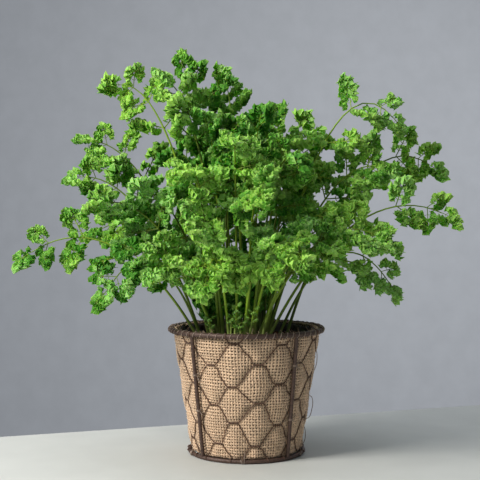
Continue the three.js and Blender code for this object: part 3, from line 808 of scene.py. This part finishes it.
def hook(pot, turn, at_rim):
    """The end of a wire, bent over the rim or over the base ring."""
    height = pot.rim_height if at_rim else pot.base_height
    radius = (pot.rim_radius if at_rim else pot.base_radius)
    reach = (2.0 if at_rim else 1.7) * MM + NET_WIRE / 2
    first, last = (200, -60) if at_rim else (130, 5)
    points = []
    for k in range(9):
        angle = math.radians(mixed(first, last, k / 8))
        out = radius + reach * math.cos(angle)
        lean = turn + 0.012 * k / 8
        points.append(
            Vector((out * math.sin(lean), -out * math.cos(lean), height + reach * math.sin(angle)))
        )
    return points


def net_edges(sizes):
    """The heights between which the netting covers the wall."""
    return sizes.height - sizes.rim_wire - 1.1 * MM, sizes.base_wire + 1.1 * MM


def build_netting(sizes, wire):
    """Hexagonal netting, each wire twisted with the next."""
    pot = PotForm(sizes)
    routes = [even(points, NET_WIRE / 2, closed) for points, closed in net_routes(pot, *net_edges(sizes))]
    add_piece("twisted_netting", tube_mesh(routes, 8), [wire], "netting_wire", "hex_netting")


# ---- the hessian


def pressed_lines(pot, sizes):
    """A lookup of the places where wires press on the cloth."""
    points = []
    for route, _ in net_routes(pot, *net_edges(sizes)):
        for a, b in zip(route, route[1:]):
            points += [a, (a + b) / 2]
    for i in range(len(RIB_TURNS)):
        points += [pot.point(pot.rib_turn(i, k * MM), NET_INSET, k * MM) for k in range(2, 103)]
    points += [pot.point(math.radians(k), NET_INSET, 103 * MM) for k in range(0, 360, 2)]
    tree = kdtree.KDTree(len(points))
    for i, point in enumerate(points):
        tree.insert(point, i)
    tree.balance()
    return tree


def dress(bm, pot, lines, inset, flatten):
    """Flattens a woven wall about its middle and swells it out between the wires."""
    for vert in bm.verts:
        x, y, z = vert.co
        out = math.hypot(x, y)
        if z < inset:
            continue
        middle = pot.wall(z) - inset
        _, _, away = lines.find(Vector((x, y, 0)) * ((middle + inset - NET_INSET) / out) + UP * z)
        swell = PILLOW * (1 - math.exp(-max(0, away - NET_WIRE / 2) / PILLOW_EASE))
        sag = CLOTH_SAG * noise.noise(Vector((x, y, z)) * 60)
        radius = middle + (out - middle) * flatten + swell + sag
        pull = Vector((x, y, 0)) * (middle / out) + UP * z
        slip = WEAVE_SLIP * noise.noise(pull * WEAVE_PATCH)
        ends = min(1, (WEAVE_HIGH - z) / WEAVE_ENDS, (z - WEAVE_LOW) / WEAVE_ENDS)
        turned = Matrix.Rotation(slip, 3, "Z") @ Vector((x, y, 0)) * (radius / out)
        drop = WEAVE_DROP * max(0, ends) * noise.noise(pull * WEAVE_PATCH + Vector((9, 9, 9)))
        vert.co = turned + UP * (z + drop)


def thread_mesh(pot, lines, routes):
    """Threads as tubes that are flattened and swelled together."""
    mesh = tube_mesh([even(points, YARN / 2, closed) for points, closed in routes], 6)
    bm = bmesh.new()
    bm.from_mesh(mesh)
    dress(bm, pot, lines, WEAVE_INSET, YARN_FLAT)
    return mesh_of(bm)


def build_hessian(sizes, back, warp_yarn, weft_yarn):
    """The hessian lining: a cloth with every thread of its wall woven over and under."""
    pot = PotForm(sizes)
    lines = pressed_lines(pot, sizes)

    def height(row):
        return mixed(WEAVE_LOW, WEAVE_HIGH, row / (WEFTS - 1))

    warps = []
    for i in range(WARPS):
        turn = math.tau * i / WARPS
        points = []
        for k in range(2 * WEFTS - 1):
            lift = WEAVE_RISE * math.cos(math.pi * (k / 2 + i))
            lean = turn + 0.006 * waver(i, k * 0.08, 0)
            points.append(pot.point(lean, WEAVE_INSET - lift, height(k / 2)))
        warps.append((points, False))
    wefts = []
    for row in range(WEFTS):
        points = []
        for k in range(2 * WARPS):
            turn = math.pi * k / WARPS
            lift = -WEAVE_RISE * math.cos(math.pi * (k / 2 + row))
            wander = 0.35 * MM * noise.noise(Vector((math.sin(turn), math.cos(turn), row)) * 3)
            points.append(pot.point(turn, WEAVE_INSET - lift, height(row) + wander))
        wefts.append((points, True))
    threads = [
        add_piece("hessian_warps", thread_mesh(pot, lines, warps), [warp_yarn], "hessian"),
        add_piece("hessian_wefts", thread_mesh(pot, lines, wefts), [weft_yarn], "hessian"),
    ]

    floor_radius = pot.wall(CLOTH_FLOOR) - CLOTH_INSET
    profile = [(floor_radius * k / 6, CLOTH_FLOOR) for k in range(7)]
    rows = 40
    for k in range(1, rows + 1):
        z = mixed(CLOTH_FLOOR, WEAVE_HIGH, k / rows)
        profile.append((pot.wall(z) - CLOTH_INSET, z))
    bm = spun(profile, WARPS)
    dress(bm, pot, lines, CLOTH_INSET, 1)
    bmesh.ops.solidify(bm, geom=bm.faces, thickness=CLOTH_THICKNESS)
    # This cloth's dark finish is painted shade behind the threads.
    cloth = add_piece("hessian_cloth", mesh_of(bm), [back], "hessian", "hessian_lining")


def build_fray(sizes, yarn):
    """Frayed fibres along the lining's top edge, and fuzz that stands off its wall."""
    pot = PotForm(sizes)
    rng = random.Random(FRAY_SEED)
    routes = []
    for i in range(FRAYED + FUZZ):
        turn = rng.uniform(0, math.tau)
        top = i < FRAYED
        z = WEAVE_HIGH - 1.5 * MM if top else rng.uniform(WEAVE_LOW, WEAVE_HIGH)
        start = pot.point(turn, WEAVE_INSET - (0 if top else 2 * MM), z)
        out = outward(turn)
        side = UP.cross(out)
        length = rng.uniform(2.5, 7) * MM if top else rng.uniform(1.5, 4) * MM
        if top:
            way = UP * rng.uniform(0.5, 1) - out * rng.uniform(0, 0.7)
        else:
            way = out * 0.6 + UP * rng.uniform(-1, 1)
        way = (way + side * rng.uniform(-0.9, 0.9)).normalized()
        curl = (side * rng.uniform(-1, 1) + UP * rng.uniform(-0.6, 0.3)) * length * 0.5
        points = [start + way * length * t + curl * t * t for t in (k / 5 for k in range(6))]
        thick = rng.uniform(0.12, 0.28 if top else 0.16) * MM
        routes.append((points, [thick * (1 - 0.6 * k / 5) for k in range(6)], False))
    add_piece("frayed_fibres", tube_mesh(routes, 4), [yarn], "hessian")


# ---- film and soil


def build_film(sizes, film):
    """The plastic film inside the hessian, crinkled above the soil."""
    pot = PotForm(sizes)
    floor_radius = pot.wall(FILM_FLOOR) - FILM_INSET
    profile = [(floor_radius * k / 4, FILM_FLOOR) for k in range(5)]
    heights = [mixed(FILM_FLOOR, SOIL_EDGE - 6 * MM, k / 8) for k in range(1, 9)]
    heights += [mixed(SOIL_EDGE - 6 * MM, FILM_TOP, k / 12) for k in range(1, 13)]
    profile += [(pot.wall(z) - FILM_INSET, z) for z in heights]
    bm = spun(profile, 180)
    start = SOIL_EDGE - 4 * MM
    for vert in bm.verts:
        rise = max(0, (vert.co.z - start) / (FILM_TOP - start))
        if rise == 0:
            continue
        turn = math.atan2(vert.co.x, -vert.co.y)
        around = Vector((math.sin(turn), math.cos(turn), 0)) * 9
        crease = abs(noise.noise(around + UP * vert.co.z * 90)) + 0.6 * abs(noise.noise(around * 3))
        pull = 1 - rise * crease * FILM_CREASE / math.hypot(vert.co.x, vert.co.y)
        vert.co.x *= pull
        vert.co.y *= pull
        vert.co.z += rise**3 * FILM_WAVE * noise.noise(around * 0.7 + Vector((5, 5, 5)))
    bmesh.ops.solidify(bm, geom=bm.faces, thickness=FILM_THICKNESS)
    add_piece("crinkled_film", mesh_of(bm), [film], "liner_film", "plastic_liner")


def build_soil(sizes, soil):
    """Soil with a rough crown, and loose crumbs on it."""
    pot = PotForm(sizes)
    edge = pot.wall(SOIL_EDGE) - SOIL_INSET
    rings = 26
    profile = [(0, SOIL_FLOOR), (pot.wall(SOIL_FLOOR) - SOIL_INSET, SOIL_FLOOR)]
    profile += [(pot.wall(z) - SOIL_INSET, z) for z in (40 * MM, 80 * MM, SOIL_EDGE - 3 * MM)]
    profile += [(edge * (1 - k / rings) - 0.5 * MM * (k < 1), SOIL_EDGE) for k in range(rings + 1)]
    bm = spun(profile, 120)
    for vert in bm.verts:
        x, y, z = vert.co
        if z > SOIL_EDGE - 0.1 * MM:
            rough = 1.6 * MM * noise.noise(vert.co * 220) + 0.8 * MM * noise.noise(vert.co * 600)
            vert.co.z = soil_height(pot, x, y) + rough
    rng = random.Random(CRUMB_SEED)
    for _ in range(CRUMBS):
        turn, out = rng.uniform(0, math.tau), edge * math.sqrt(rng.random()) * 0.97
        x, y = out * math.cos(turn), out * math.sin(turn)
        size = rng.uniform(0.5, 1.7) * MM
        place = Matrix.Translation((x, y, soil_height(pot, x, y) + size * 0.5))
        squash = Matrix.Diagonal((rng.uniform(0.7, 1.3), rng.uniform(0.7, 1.3), rng.uniform(0.5, 0.9), 1))
        bmesh.ops.create_icosphere(bm, subdivisions=1, radius=size, matrix=place @ squash)
    add_piece("potting_soil", mesh_of(bm), [soil], "soil", "soil")


# ---- the parsley


class Spine:
    """The line that a frond's stalk follows, from its foot in the soil to the leaf's tip."""

    STEPS = 80

    def __init__(self, pot, tip, rise, root):
        tip = Vector(tip) * MM
        x, y = (value * MM for value in root)
        foot = Vector((x, y, soil_height(pot, x, y) - STALK_SINK))
        shoulder = tip.z + rise * MM
        low = foot.lerp(tip, LEAN_LOW)
        low.z = mixed(foot.z, shoulder, 0.52)
        high = foot.lerp(tip, LEAN_HIGH)
        high.z = shoulder
        self.level = Vector((tip.y - foot.y, foot.x - tip.x, 0)).normalized()
        self.points = []
        for k in range(self.STEPS + 1):
            t = k / self.STEPS
            s = 1 - t
            self.points.append(s**3 * foot + 3 * s * s * t * low + 3 * s * t * t * high + t**3 * tip)
        self.along = [0.0]
        for a, b in zip(self.points, self.points[1:]):
            self.along.append(self.along[-1] + (b - a).length)
        self.length = self.along[-1]

    def at(self, share):
        """The point a share of the way along."""
        goal = min(max(share, 0), 1) * self.length
        k = next((i for i, run in enumerate(self.along[1:]) if run >= goal), self.STEPS - 1)
        part = (goal - self.along[k]) / (self.along[k + 1] - self.along[k])
        return self.points[k].lerp(self.points[k + 1], part)

    def frame(self, share, roll):
        """Point, direction, side and upper normal, rolled about the stalk."""
        way = (self.at(share + 0.01) - self.at(share - 0.01)).normalized()
        side = self.level - way * self.level.dot(way)
        side = Matrix.Rotation(roll, 3, way) @ side.normalized()
        return self.at(share), way, side, side.cross(way)


def dome_frond(i):
    """A frond of the dome: tip, rise, leafy length, root and roll."""
    turn = math.radians(DOME_FIRST_TURN + i * GOLDEN_TURN)
    slope = math.radians(10 + 66 * ((i + 0.5) / DOME_FRONDS) ** 0.8)
    reach = math.sin(slope) * (1 + 0.12 * spread(DOME_SEED, i, 1))
    x = DOME_ACROSS[0] * reach * math.cos(turn)
    y = DOME_ACROSS[1] * reach * math.sin(turn)
    z = DOME_FLOOR + DOME_HEIGHT * math.cos(slope) * (1 + 0.06 * spread(DOME_SEED, i, 2))
    foot = turn + 0.35 * spread(DOME_SEED, i, 3)
    across, deep = (ROOTS_INNER + widest * math.sin(slope) for widest in ROOTS_ACROSS)
    root = (ROOTS_MIDDLE_X + across * math.cos(foot), deep * math.sin(foot))
    return (x, y, z), -24 + 50 * math.sin(slope), 60, root, 70 * spread(DOME_SEED, i, 4)


def leaf_mesh(seed):
    """A curly leaflet, 1 long, that grows along Y from a neck, with its upper side to Z.

    It is a fan of three lobes. Its pleats deepen towards the edge, which is fringed and curled under.
    """
    rng = random.Random(seed)
    bm = bmesh.new()
    ridge_highlight_and_pale_foot = bm.verts.layers.float.new("ridge_highlight_and_pale_foot")
    bm.verts.layers.float.new("tone")
    bmesh.ops.create_grid(bm, x_segments=LEAF_PLEATS, y_segments=LEAF_ROWS, size=1)
    fan = math.radians(rng.uniform(100, 124))
    notch_at = rng.uniform(0.3, 0.4)
    curl = rng.uniform(0.08, 0.34)
    crown = rng.uniform(0.04, 0.18)
    ruffle = [rng.uniform(0.75, 1.3) for _ in range(LEAF_PLEATS + 1)]
    for vert in bm.verts:
        v, u = vert.co.x, (vert.co.y + 1) / 2
        column, row = round((v + 1) * LEAF_PLEATS / 2), round(u * LEAF_ROWS)
        fold = ruffle[column] * rng.uniform(0.45, 1.5) * (1 if (column + row) % 2 else -1)
        notch = math.exp(-(((abs(v) - notch_at) / 0.1) ** 2))
        turn = v * fan
        reach = math.sin(u * math.radians(96)) * (1 - LEAF_NOTCH * notch * u * u) * (1 + 0.1 * fold * u)
        reach *= 0.32 + 0.56 * math.cos(turn / 2) ** 2
        reach *= 1 + 0.09 * u * rng.uniform(-1, 1) - LEAF_FRINGE * (column % 2) * u**4
        turn += 0.11 * u * rng.uniform(-1, 1)
        lift = crown * math.sin(math.pi * min(1, u * 1.1)) - curl * u**2.2 - 0.1 * notch * u
        lift += LEAF_FOLD * fold * u**0.6
        vert.co = (reach * math.sin(turn), 0.1 + reach * math.cos(turn), lift)
        # Painted highlight and shade: the ridge value is high on the pleats' crests and low in their
        # valleys, more so towards the edge.
        vert[ridge_highlight_and_pale_foot] = 0.5 + 0.5 * max(-1, min(1, fold)) * u
    bmesh.ops.remove_doubles(bm, verts=bm.verts, dist=0.004)
    bmesh.ops.solidify(bm, geom=bm.faces, thickness=LEAF_THICKNESS)
    for face in bm.faces:
        face.smooth = False
        face.material_index = 1
    return mesh_of(bm, smooth=False)


def leaf_place(base, way, normal, size):
    """The matrix that stands a leaflet at a base, along way, with its upper side to normal."""
    across = way.cross(normal).normalized()
    face = across.cross(way)
    turn = Matrix((across, way, face)).transposed().to_4x4()
    return Matrix.Translation(base) @ turn @ Matrix.Scale(size, 4)


def branch_way(frame, side, seed):
    """Direction and upper normal of a leaf that stands on a stalk."""
    _, way, across, up = frame
    opened = math.radians(58 + 12 * spread(seed, 1))
    lift = math.radians(8 + 14 * spread(seed, 2))
    ahead, aside = (math.cos(opened), side * math.sin(opened)) if side else (1, 0)
    out = (way * ahead + across * aside) * math.cos(lift) + up * math.sin(lift)
    out.normalize()
    normal = (up - out * up.dot(out)).normalized()
    return out, Matrix.Rotation(math.radians(24 * spread(seed, 3)), 3, out) @ normal


def lit_side(base, way, normal):
    """Turns a leaf's upper side towards the light, upwards and away from the middle of the plant."""
    light = Vector((base.x, base.y, 0)).normalized() * 0.5 + UP
    if normal.dot(light) < 0:
        normal = -normal
    turned = normal + light * LEAF_TURNS_TO_LIGHT
    return (turned - way * way.dot(turned)).normalized()


def grow_leaf(twigs, leaflets, frame, side, seed, stalk, size, tip_radius):
    """A leaf on its own twig: a curly leaflet at the end and pairs of them below it."""
    base = frame[0]
    way, normal = branch_way(frame, side, seed)
    normal = lit_side(base, way, normal)
    across = way.cross(normal)
    rng = random.Random(seed * 7 + side)

    def at(run):
        return base + way * run + normal * (0.06 * stalk - 0.35 * max(0, run - stalk) ** 2 / size)

    end = stalk + 0.62 * size
    twigs.append(([at(end * k / 5) for k in range(6)], tip_radius))
    dip = (way - normal * 0.45).normalized()
    leaflets.append((at(end), dip, (normal + way * 0.45).normalized(), size * rng.uniform(0.6, 0.72)))
    pairs = [(stalk + size * share, length, scale) for share, length, scale in LEAFLET_PAIRS]
    if stalk > 8 * MM:
        pairs.append((stalk * 0.45, 0.14, 0.58))
    for run, length, scale in pairs:
        for flank in (-1, 1):
            start = at(run)
            angle = math.radians(62 + rng.uniform(-14, 14))
            out = way * math.cos(angle) + across * flank * math.sin(angle)
            out = (out + normal * rng.uniform(-0.5, 0.35)).normalized()
            foot = start + out * size * length * rng.uniform(0.8, 1.25)
            twigs.append(([start, start.lerp(foot, 0.5), foot + out * size * 0.16], tip_radius * 0.6))
            tilt = Matrix.Rotation(rng.uniform(-0.7, 0.7), 3, out)
            leaflets.append((foot, out, tilt @ normal, size * scale * rng.uniform(0.85, 1.15)))


def build_frond(pot, plant, templates, materials, index, spec):
    """One frond: its stalk, the twigs on it and their leaflets."""
    tip, rise, leafy, root, roll = spec
    spine = Spine(pot, tip, rise, root)
    neck = 1 - leafy * MM / spine.length
    rng = random.Random(FROND_SEED + index)

    def radius(share):
        if share < neck:
            return mixed(plant.stalk_root, plant.stalk_neck, share / neck)
        return mixed(plant.stalk_neck, plant.stalk_tip, (share - neck) / (1 - neck))

    shares = [k / STALK_STEPS for k in range(STALK_STEPS + 1)]
    stem = ([spine.at(s) for s in shares], [radius(s) for s in shares], False)
    twigs = []
    leaflets = []
    for level, (share, stalk, size) in enumerate(LEAVES):
        frame_at = spine.frame(mixed(neck, 1, share), math.radians(roll))
        for side in (1, -1) if share < 1 else (0,):
            seed = 10 * index + 2 * level + side
            thin = radius(mixed(neck, 1, share)) * 0.7
            grow_leaf(twigs, leaflets, frame_at, side, seed, stalk * MM, size * MM, thin)

    name = f"frond_{index + 1:02d}"
    across, back = ((foot - young) / wide for foot, young, wide in zip(root, YOUNG_ROOT, YOUNG_SPREAD))
    youth = math.exp(-(across**2) - back**2)
    stalk_tone = 0.28 + 0.6 * youth + rng.uniform(-0.14, 0.14)
    mesh = green_mesh([stem], twigs, leaflets, templates, rng, stalk_tone, rng.uniform(0.28, 0.66))
    add_piece(f"parsley_{name}", mesh, materials, "parsley_leaf", name)


def green_mesh(stems, twigs, leaflets, templates, rng, stalk_tone, leaf_tone):
    """Stalks, twigs and leaflets in one mesh, each with its own tone and the stalks pale at their feet."""
    upper_tone = rng.uniform(0.1, 0.75)
    bm = bmesh.new()
    tone = bm.verts.layers.float.new("tone")
    ridge_highlight_and_pale_foot = bm.verts.layers.float.new("ridge_highlight_and_pale_foot")
    bm.from_mesh(tube_mesh(stems, STALK_SIDES))
    bm.from_mesh(tube_mesh([even(points, thin) for points, thin in twigs], TWIG_SIDES))
    for vert in bm.verts:
        rise = vert.co.z - SOIL_EDGE
        vert[tone] = mixed(stalk_tone, upper_tone, min(1, max(0, rise / TONE_RISE)))
        # On stalks the ridge value holds only the pale foot; the leaflets bring their painted ridge
        # highlight and shade from the templates.
        vert[ridge_highlight_and_pale_foot] = stalk_tone * max(0, 1 - rise / PALE_FOOT)
    for foot, way, normal, size in leaflets:
        start = len(bm.verts)
        bm.from_mesh(rng.choice(templates))
        bm.verts.ensure_lookup_table()
        fresh = bm.verts[start:]
        bmesh.ops.transform(bm, matrix=leaf_place(foot, way, normal, size), verts=fresh)
        own_tone = leaf_tone + rng.uniform(-0.2, 0.2)
        for vert in fresh:
            vert[tone] = own_tone
    return mesh_of(bm, smooth=False)


def shoot(pot, rng, place, height, lean, leafy, size):
    """A young shoot: its stalk, and twigs and leaflets over the upper part of it."""
    x, y = (value * MM for value in place)
    foot = Vector((x, y, soil_height(pot, x, y) - 3 * MM))
    top = foot + Vector((lean[0], lean[1], height)) * MM
    bend = foot.lerp(top, 0.5) - Vector((lean[0], lean[1], 0)) * 0.2 * MM
    points = [foot.lerp(bend, t).lerp(bend.lerp(top, t), t) for t in (k / 12 for k in range(13))]
    radii = [mixed(1.1, 0.55, k / 12) * MM for k in range(13)]
    twigs, leaflets = [], []
    for k in range(leafy):
        turn = k * math.radians(GOLDEN_TURN)
        out = Vector((math.cos(turn), math.sin(turn), rng.uniform(0.2, 1.2))).normalized()
        start = points[12 - round(6 * k / leafy)]
        end = start + out * size * rng.uniform(0.3, 1.1) * MM
        twigs.append(([start, end], 0.35 * MM))
        side = lit_side(end, out, out.cross(UP).cross(out).normalized())
        leaflets.append((end - out * 0.2 * MM, out, side, size * rng.uniform(0.8, 1.2) * MM))
    return (points, radii, False), twigs, leaflets


def build_shoots(pot, plant, templates, materials):
    """Bright young shoots at the front, and low leaves in the clump whose dark tones are painted shade."""
    rng = random.Random(SHOOT_SEED)
    young = [shoot(pot, rng, (x, y), height, (lean, -2), 7, 4) for x, y, height, lean in SHOOTS]
    shaded = []
    for _ in range(SHADED_SHOOTS):
        place = (rng.uniform(-30, 18), rng.uniform(-4, 32))
        lean = (0.1 * place[0], 0.2 * place[1])
        shaded.append(shoot(pot, rng, place, rng.uniform(28, 62), lean, 13, 10))
    # The shaded shoots' low stalk and leaf tones paint the shade under the clump.
    for name, shoots, stalk_tone, leaf_tone in (
        ("young_shoots", young, 0.85, 0.6), ("shaded_shoots", shaded, 0.35, 0.35),
    ):
        stems = [stem for stem, _, _ in shoots]
        twigs = [twig for _, some, _ in shoots for twig in some]
        leaflets = [leaflet for _, _, some in shoots for leaflet in some]
        mesh = green_mesh(stems, twigs, leaflets, templates, rng, stalk_tone, leaf_tone)
        add_piece(name, mesh, materials, "parsley_leaf")


# ---- the stage

CAMERA_PLACE = (-5.4 * MM, -824 * MM, 188.9 * MM)
CAMERA_DROP = math.radians(0.845)
CAMERA_LENS = 73.84
TABLE_TURN = math.radians(18.6)
TABLE_BACK = 122 * MM  # from the pot's axis to the far edge
TABLE_SIZE = 2.4
TABLE_THICKNESS = 30 * MM
TABLE_EDGE = 2 * MM
WALL_BACK = 1.9
WALL_SIZE = 3.2
ROOM_STRENGTH = 0.62
LIGHTS = [  # name, place, aim, size, power in watts and colour
    ("key", (-0.85, -0.5, 0.78), (0, 0, 0.15), 0.42, 18.5, (1, 0.97, 0.93)),
    ("sky", (-0.1, 0.1, 1.5), (0, 0, 0.1), 1.2, 8, (0.93, 0.96, 1)),
    ("back", (0.7, 0.75, 0.8), (0, 0, 0.25), 0.6, 0.8, (0.93, 0.96, 1)),
    ("wall_light", (0.7, 0.6, 0.38), (0.45, 1.9, 0.05), 1.2, 8.4, (1, 1, 1)),
]


def plain_finish(name, colour, roughness):
    """A painted surface with faint mottling."""
    finish, _ = mottled(name, roughness, 0.5, 40 * MM, 4, [(0.3, scaled(colour, 0.94)), (0.7, colour)])
    return finish.material


def add_light(name, place, aim, size, power, colour):
    """A soft area light."""
    data = bpy.data.lights.new(name, "AREA")
    data.size = size
    data.energy = power
    data.color = colour
    light = bpy.data.objects.new(name, data)
    light.location = place
    light.rotation_euler = (Vector(aim) - Vector(place)).to_track_quat("-Z", "Y").to_euler()
    bpy.context.collection.objects.link(light)


def build_stage():
    """A pale table, a grey wall far behind it, soft lights and the camera."""
    scene = bpy.context.scene
    camera_data = bpy.data.cameras.new("camera")
    camera_data.lens = CAMERA_LENS
    camera = bpy.data.objects.new("camera", camera_data)
    camera.location = CAMERA_PLACE
    camera.rotation_euler = (math.pi / 2 - CAMERA_DROP, 0, 0)
    scene.collection.objects.link(camera)
    scene.camera = camera

    bm = bmesh.new()
    middle = Matrix.Rotation(TABLE_TURN, 4, "Z") @ Matrix.Translation(
        (0, TABLE_BACK - TABLE_SIZE / 2, -TABLE_THICKNESS / 2)
    )
    slab = middle @ Matrix.Diagonal((TABLE_SIZE, TABLE_SIZE, TABLE_THICKNESS, 1))
    bmesh.ops.create_cube(bm, size=1, matrix=slab)
    bmesh.ops.bevel(
        bm, geom=bm.edges, offset=TABLE_EDGE, segments=3, profile=0.5, affect="EDGES", material=-1,
    )
    table = bpy.data.objects.new("table", mesh_of(bm))
    table.data.materials.append(plain_finish("table_paint", shade(0xC9CBC6), 0.6))
    bm = bmesh.new()
    upright = Matrix.Translation((0, WALL_BACK, 0.2)) @ Matrix.Rotation(math.pi / 2, 4, "X")
    bmesh.ops.create_grid(bm, x_segments=1, y_segments=1, size=WALL_SIZE, matrix=upright)
    wall = bpy.data.objects.new("backdrop", mesh_of(bm))
    wall.data.materials.append(plain_finish("wall_paint", shade(0xB7BABF), 0.9))
    for piece in (table, wall):
        scene.collection.objects.link(piece)

    for light in LIGHTS:
        add_light(*light)

    world = bpy.data.worlds.new("room")
    world.use_nodes = True
    world.node_tree.nodes["Background"].inputs["Color"].default_value = (*shade(0x9EA4AC), 1)
    world.node_tree.nodes["Background"].inputs["Strength"].default_value = ROOM_STRENGTH
    scene.world = world
    scene.view_settings.view_transform = "Standard"


# ---- operators


class PARSLEY_OT_stage(bpy.types.Operator):
    """Adds the table, the wall, the lights and the camera"""

    bl_idname = "parsley.stage"
    bl_label = "Stage"

    def execute(self, context):
        build_stage()
        return {"FINISHED"}


class PARSLEY_OT_basket(bpy.types.Operator):
    """Adds the rings, the ribs and the crossed wires of the basket"""

    bl_idname = "parsley.basket"
    bl_label = "Wire basket"

    def execute(self, context):
        sizes = context.scene.parsley_pot
        wire = wire_finish("rusty_wire", sizes.wire_colour, sizes.rust_colour)
        build_rings(sizes, wire)
        build_ribs(sizes, wire)
        build_cross(sizes, wire)
        build_trim(sizes, wire_finish("tie_wire", shade(0x6A5A51), shade(0x9C8B7D)))
        return {"FINISHED"}


class PARSLEY_OT_netting(bpy.types.Operator):
    """Adds the twisted hexagonal netting"""

    bl_idname = "parsley.netting"
    bl_label = "Netting"

    def execute(self, context):
        sizes = context.scene.parsley_pot
        build_netting(sizes, wire_finish("netting_wire", sizes.net_colour, sizes.rust_colour))
        return {"FINISHED"}


class PARSLEY_OT_hessian(bpy.types.Operator):
    """Adds the hessian lining with its woven threads"""

    bl_idname = "parsley.hessian"
    bl_label = "Hessian lining"

    def execute(self, context):
        sizes = context.scene.parsley_pot
        colour = tuple(sizes.yarn_colour)
        warp = yarn_finish("hessian_warp", colour, (1, 1, 0.15))
        weft = yarn_finish("hessian_weft", colour, (0.6, 0.6, 1))
        build_hessian(sizes, painted_shade_cloth_finish(colour), warp, weft)
        build_fray(sizes, weft)
        return {"FINISHED"}


class PARSLEY_OT_filling(bpy.types.Operator):
    """Adds the plastic film and the soil"""

    bl_idname = "parsley.filling"
    bl_label = "Film and soil"

    def execute(self, context):
        sizes = context.scene.parsley_pot
        build_film(sizes, film_finish())
        build_soil(sizes, soil_finish())
        return {"FINISHED"}


class PARSLEY_OT_fronds(bpy.types.Operator):
    """Adds the fronds of the plant"""

    bl_idname = "parsley.fronds"
    bl_label = "Fronds"

    def execute(self, context):
        pot = PotForm(context.scene.parsley_pot)
        plant = context.scene.parsley_plant
        materials = [stalk_finish(plant), leaf_finish(plant)]
        templates = [leaf_mesh(seed) for seed in range(LEAF_MESHES)]
        specs = OUTLINE_FRONDS + LOW_FRONDS + [dome_frond(i) for i in range(DOME_FRONDS)]
        for index, spec in enumerate(specs):
            build_frond(pot, plant, templates, materials, index, spec)
        build_shoots(pot, plant, templates, materials)
        for template in templates:
            bpy.data.meshes.remove(template)
        return {"FINISHED"}


class PARSLEY_PT_panel(bpy.types.Panel):
    """Lists the sizes, the colours and the steps"""

    bl_label = "Potted parsley"
    bl_idname = "PARSLEY_PT_panel"
    bl_space_type = "VIEW_3D"
    bl_region_type = "UI"
    bl_category = "Parsley"

    def draw(self, context):
        for group in (context.scene.parsley_pot, context.scene.parsley_plant):
            box = self.layout.box()
            for key in group.__annotations__:
                box.prop(group, key)
        for step in STEPS:
            self.layout.operator(step.bl_idname)


STEPS = (
    PARSLEY_OT_stage,
    PARSLEY_OT_basket,
    PARSLEY_OT_netting,
    PARSLEY_OT_hessian,
    PARSLEY_OT_filling,
    PARSLEY_OT_fronds,
)
CLASSES = (PotSettings, PlantSettings, *STEPS, PARSLEY_PT_panel)


def register():
    """Adds the classes and the settings."""
    for item in CLASSES:
        bpy.utils.register_class(item)
    bpy.types.Scene.parsley_pot = bpy.props.PointerProperty(type=PotSettings)
    bpy.types.Scene.parsley_plant = bpy.props.PointerProperty(type=PlantSettings)


def unregister():
    """Removes them again."""
    del bpy.types.Scene.parsley_plant
    del bpy.types.Scene.parsley_pot
    for item in reversed(CLASSES):
        bpy.utils.unregister_class(item)


def main():
    """Builds the stage and every piece."""
    register()
    bpy.ops.parsley.stage()
    bpy.ops.parsley.basket()
    bpy.ops.parsley.netting()
    bpy.ops.parsley.hessian()
    bpy.ops.parsley.filling()
    bpy.ops.parsley.fronds()


if __name__ == "__main__":
    main()
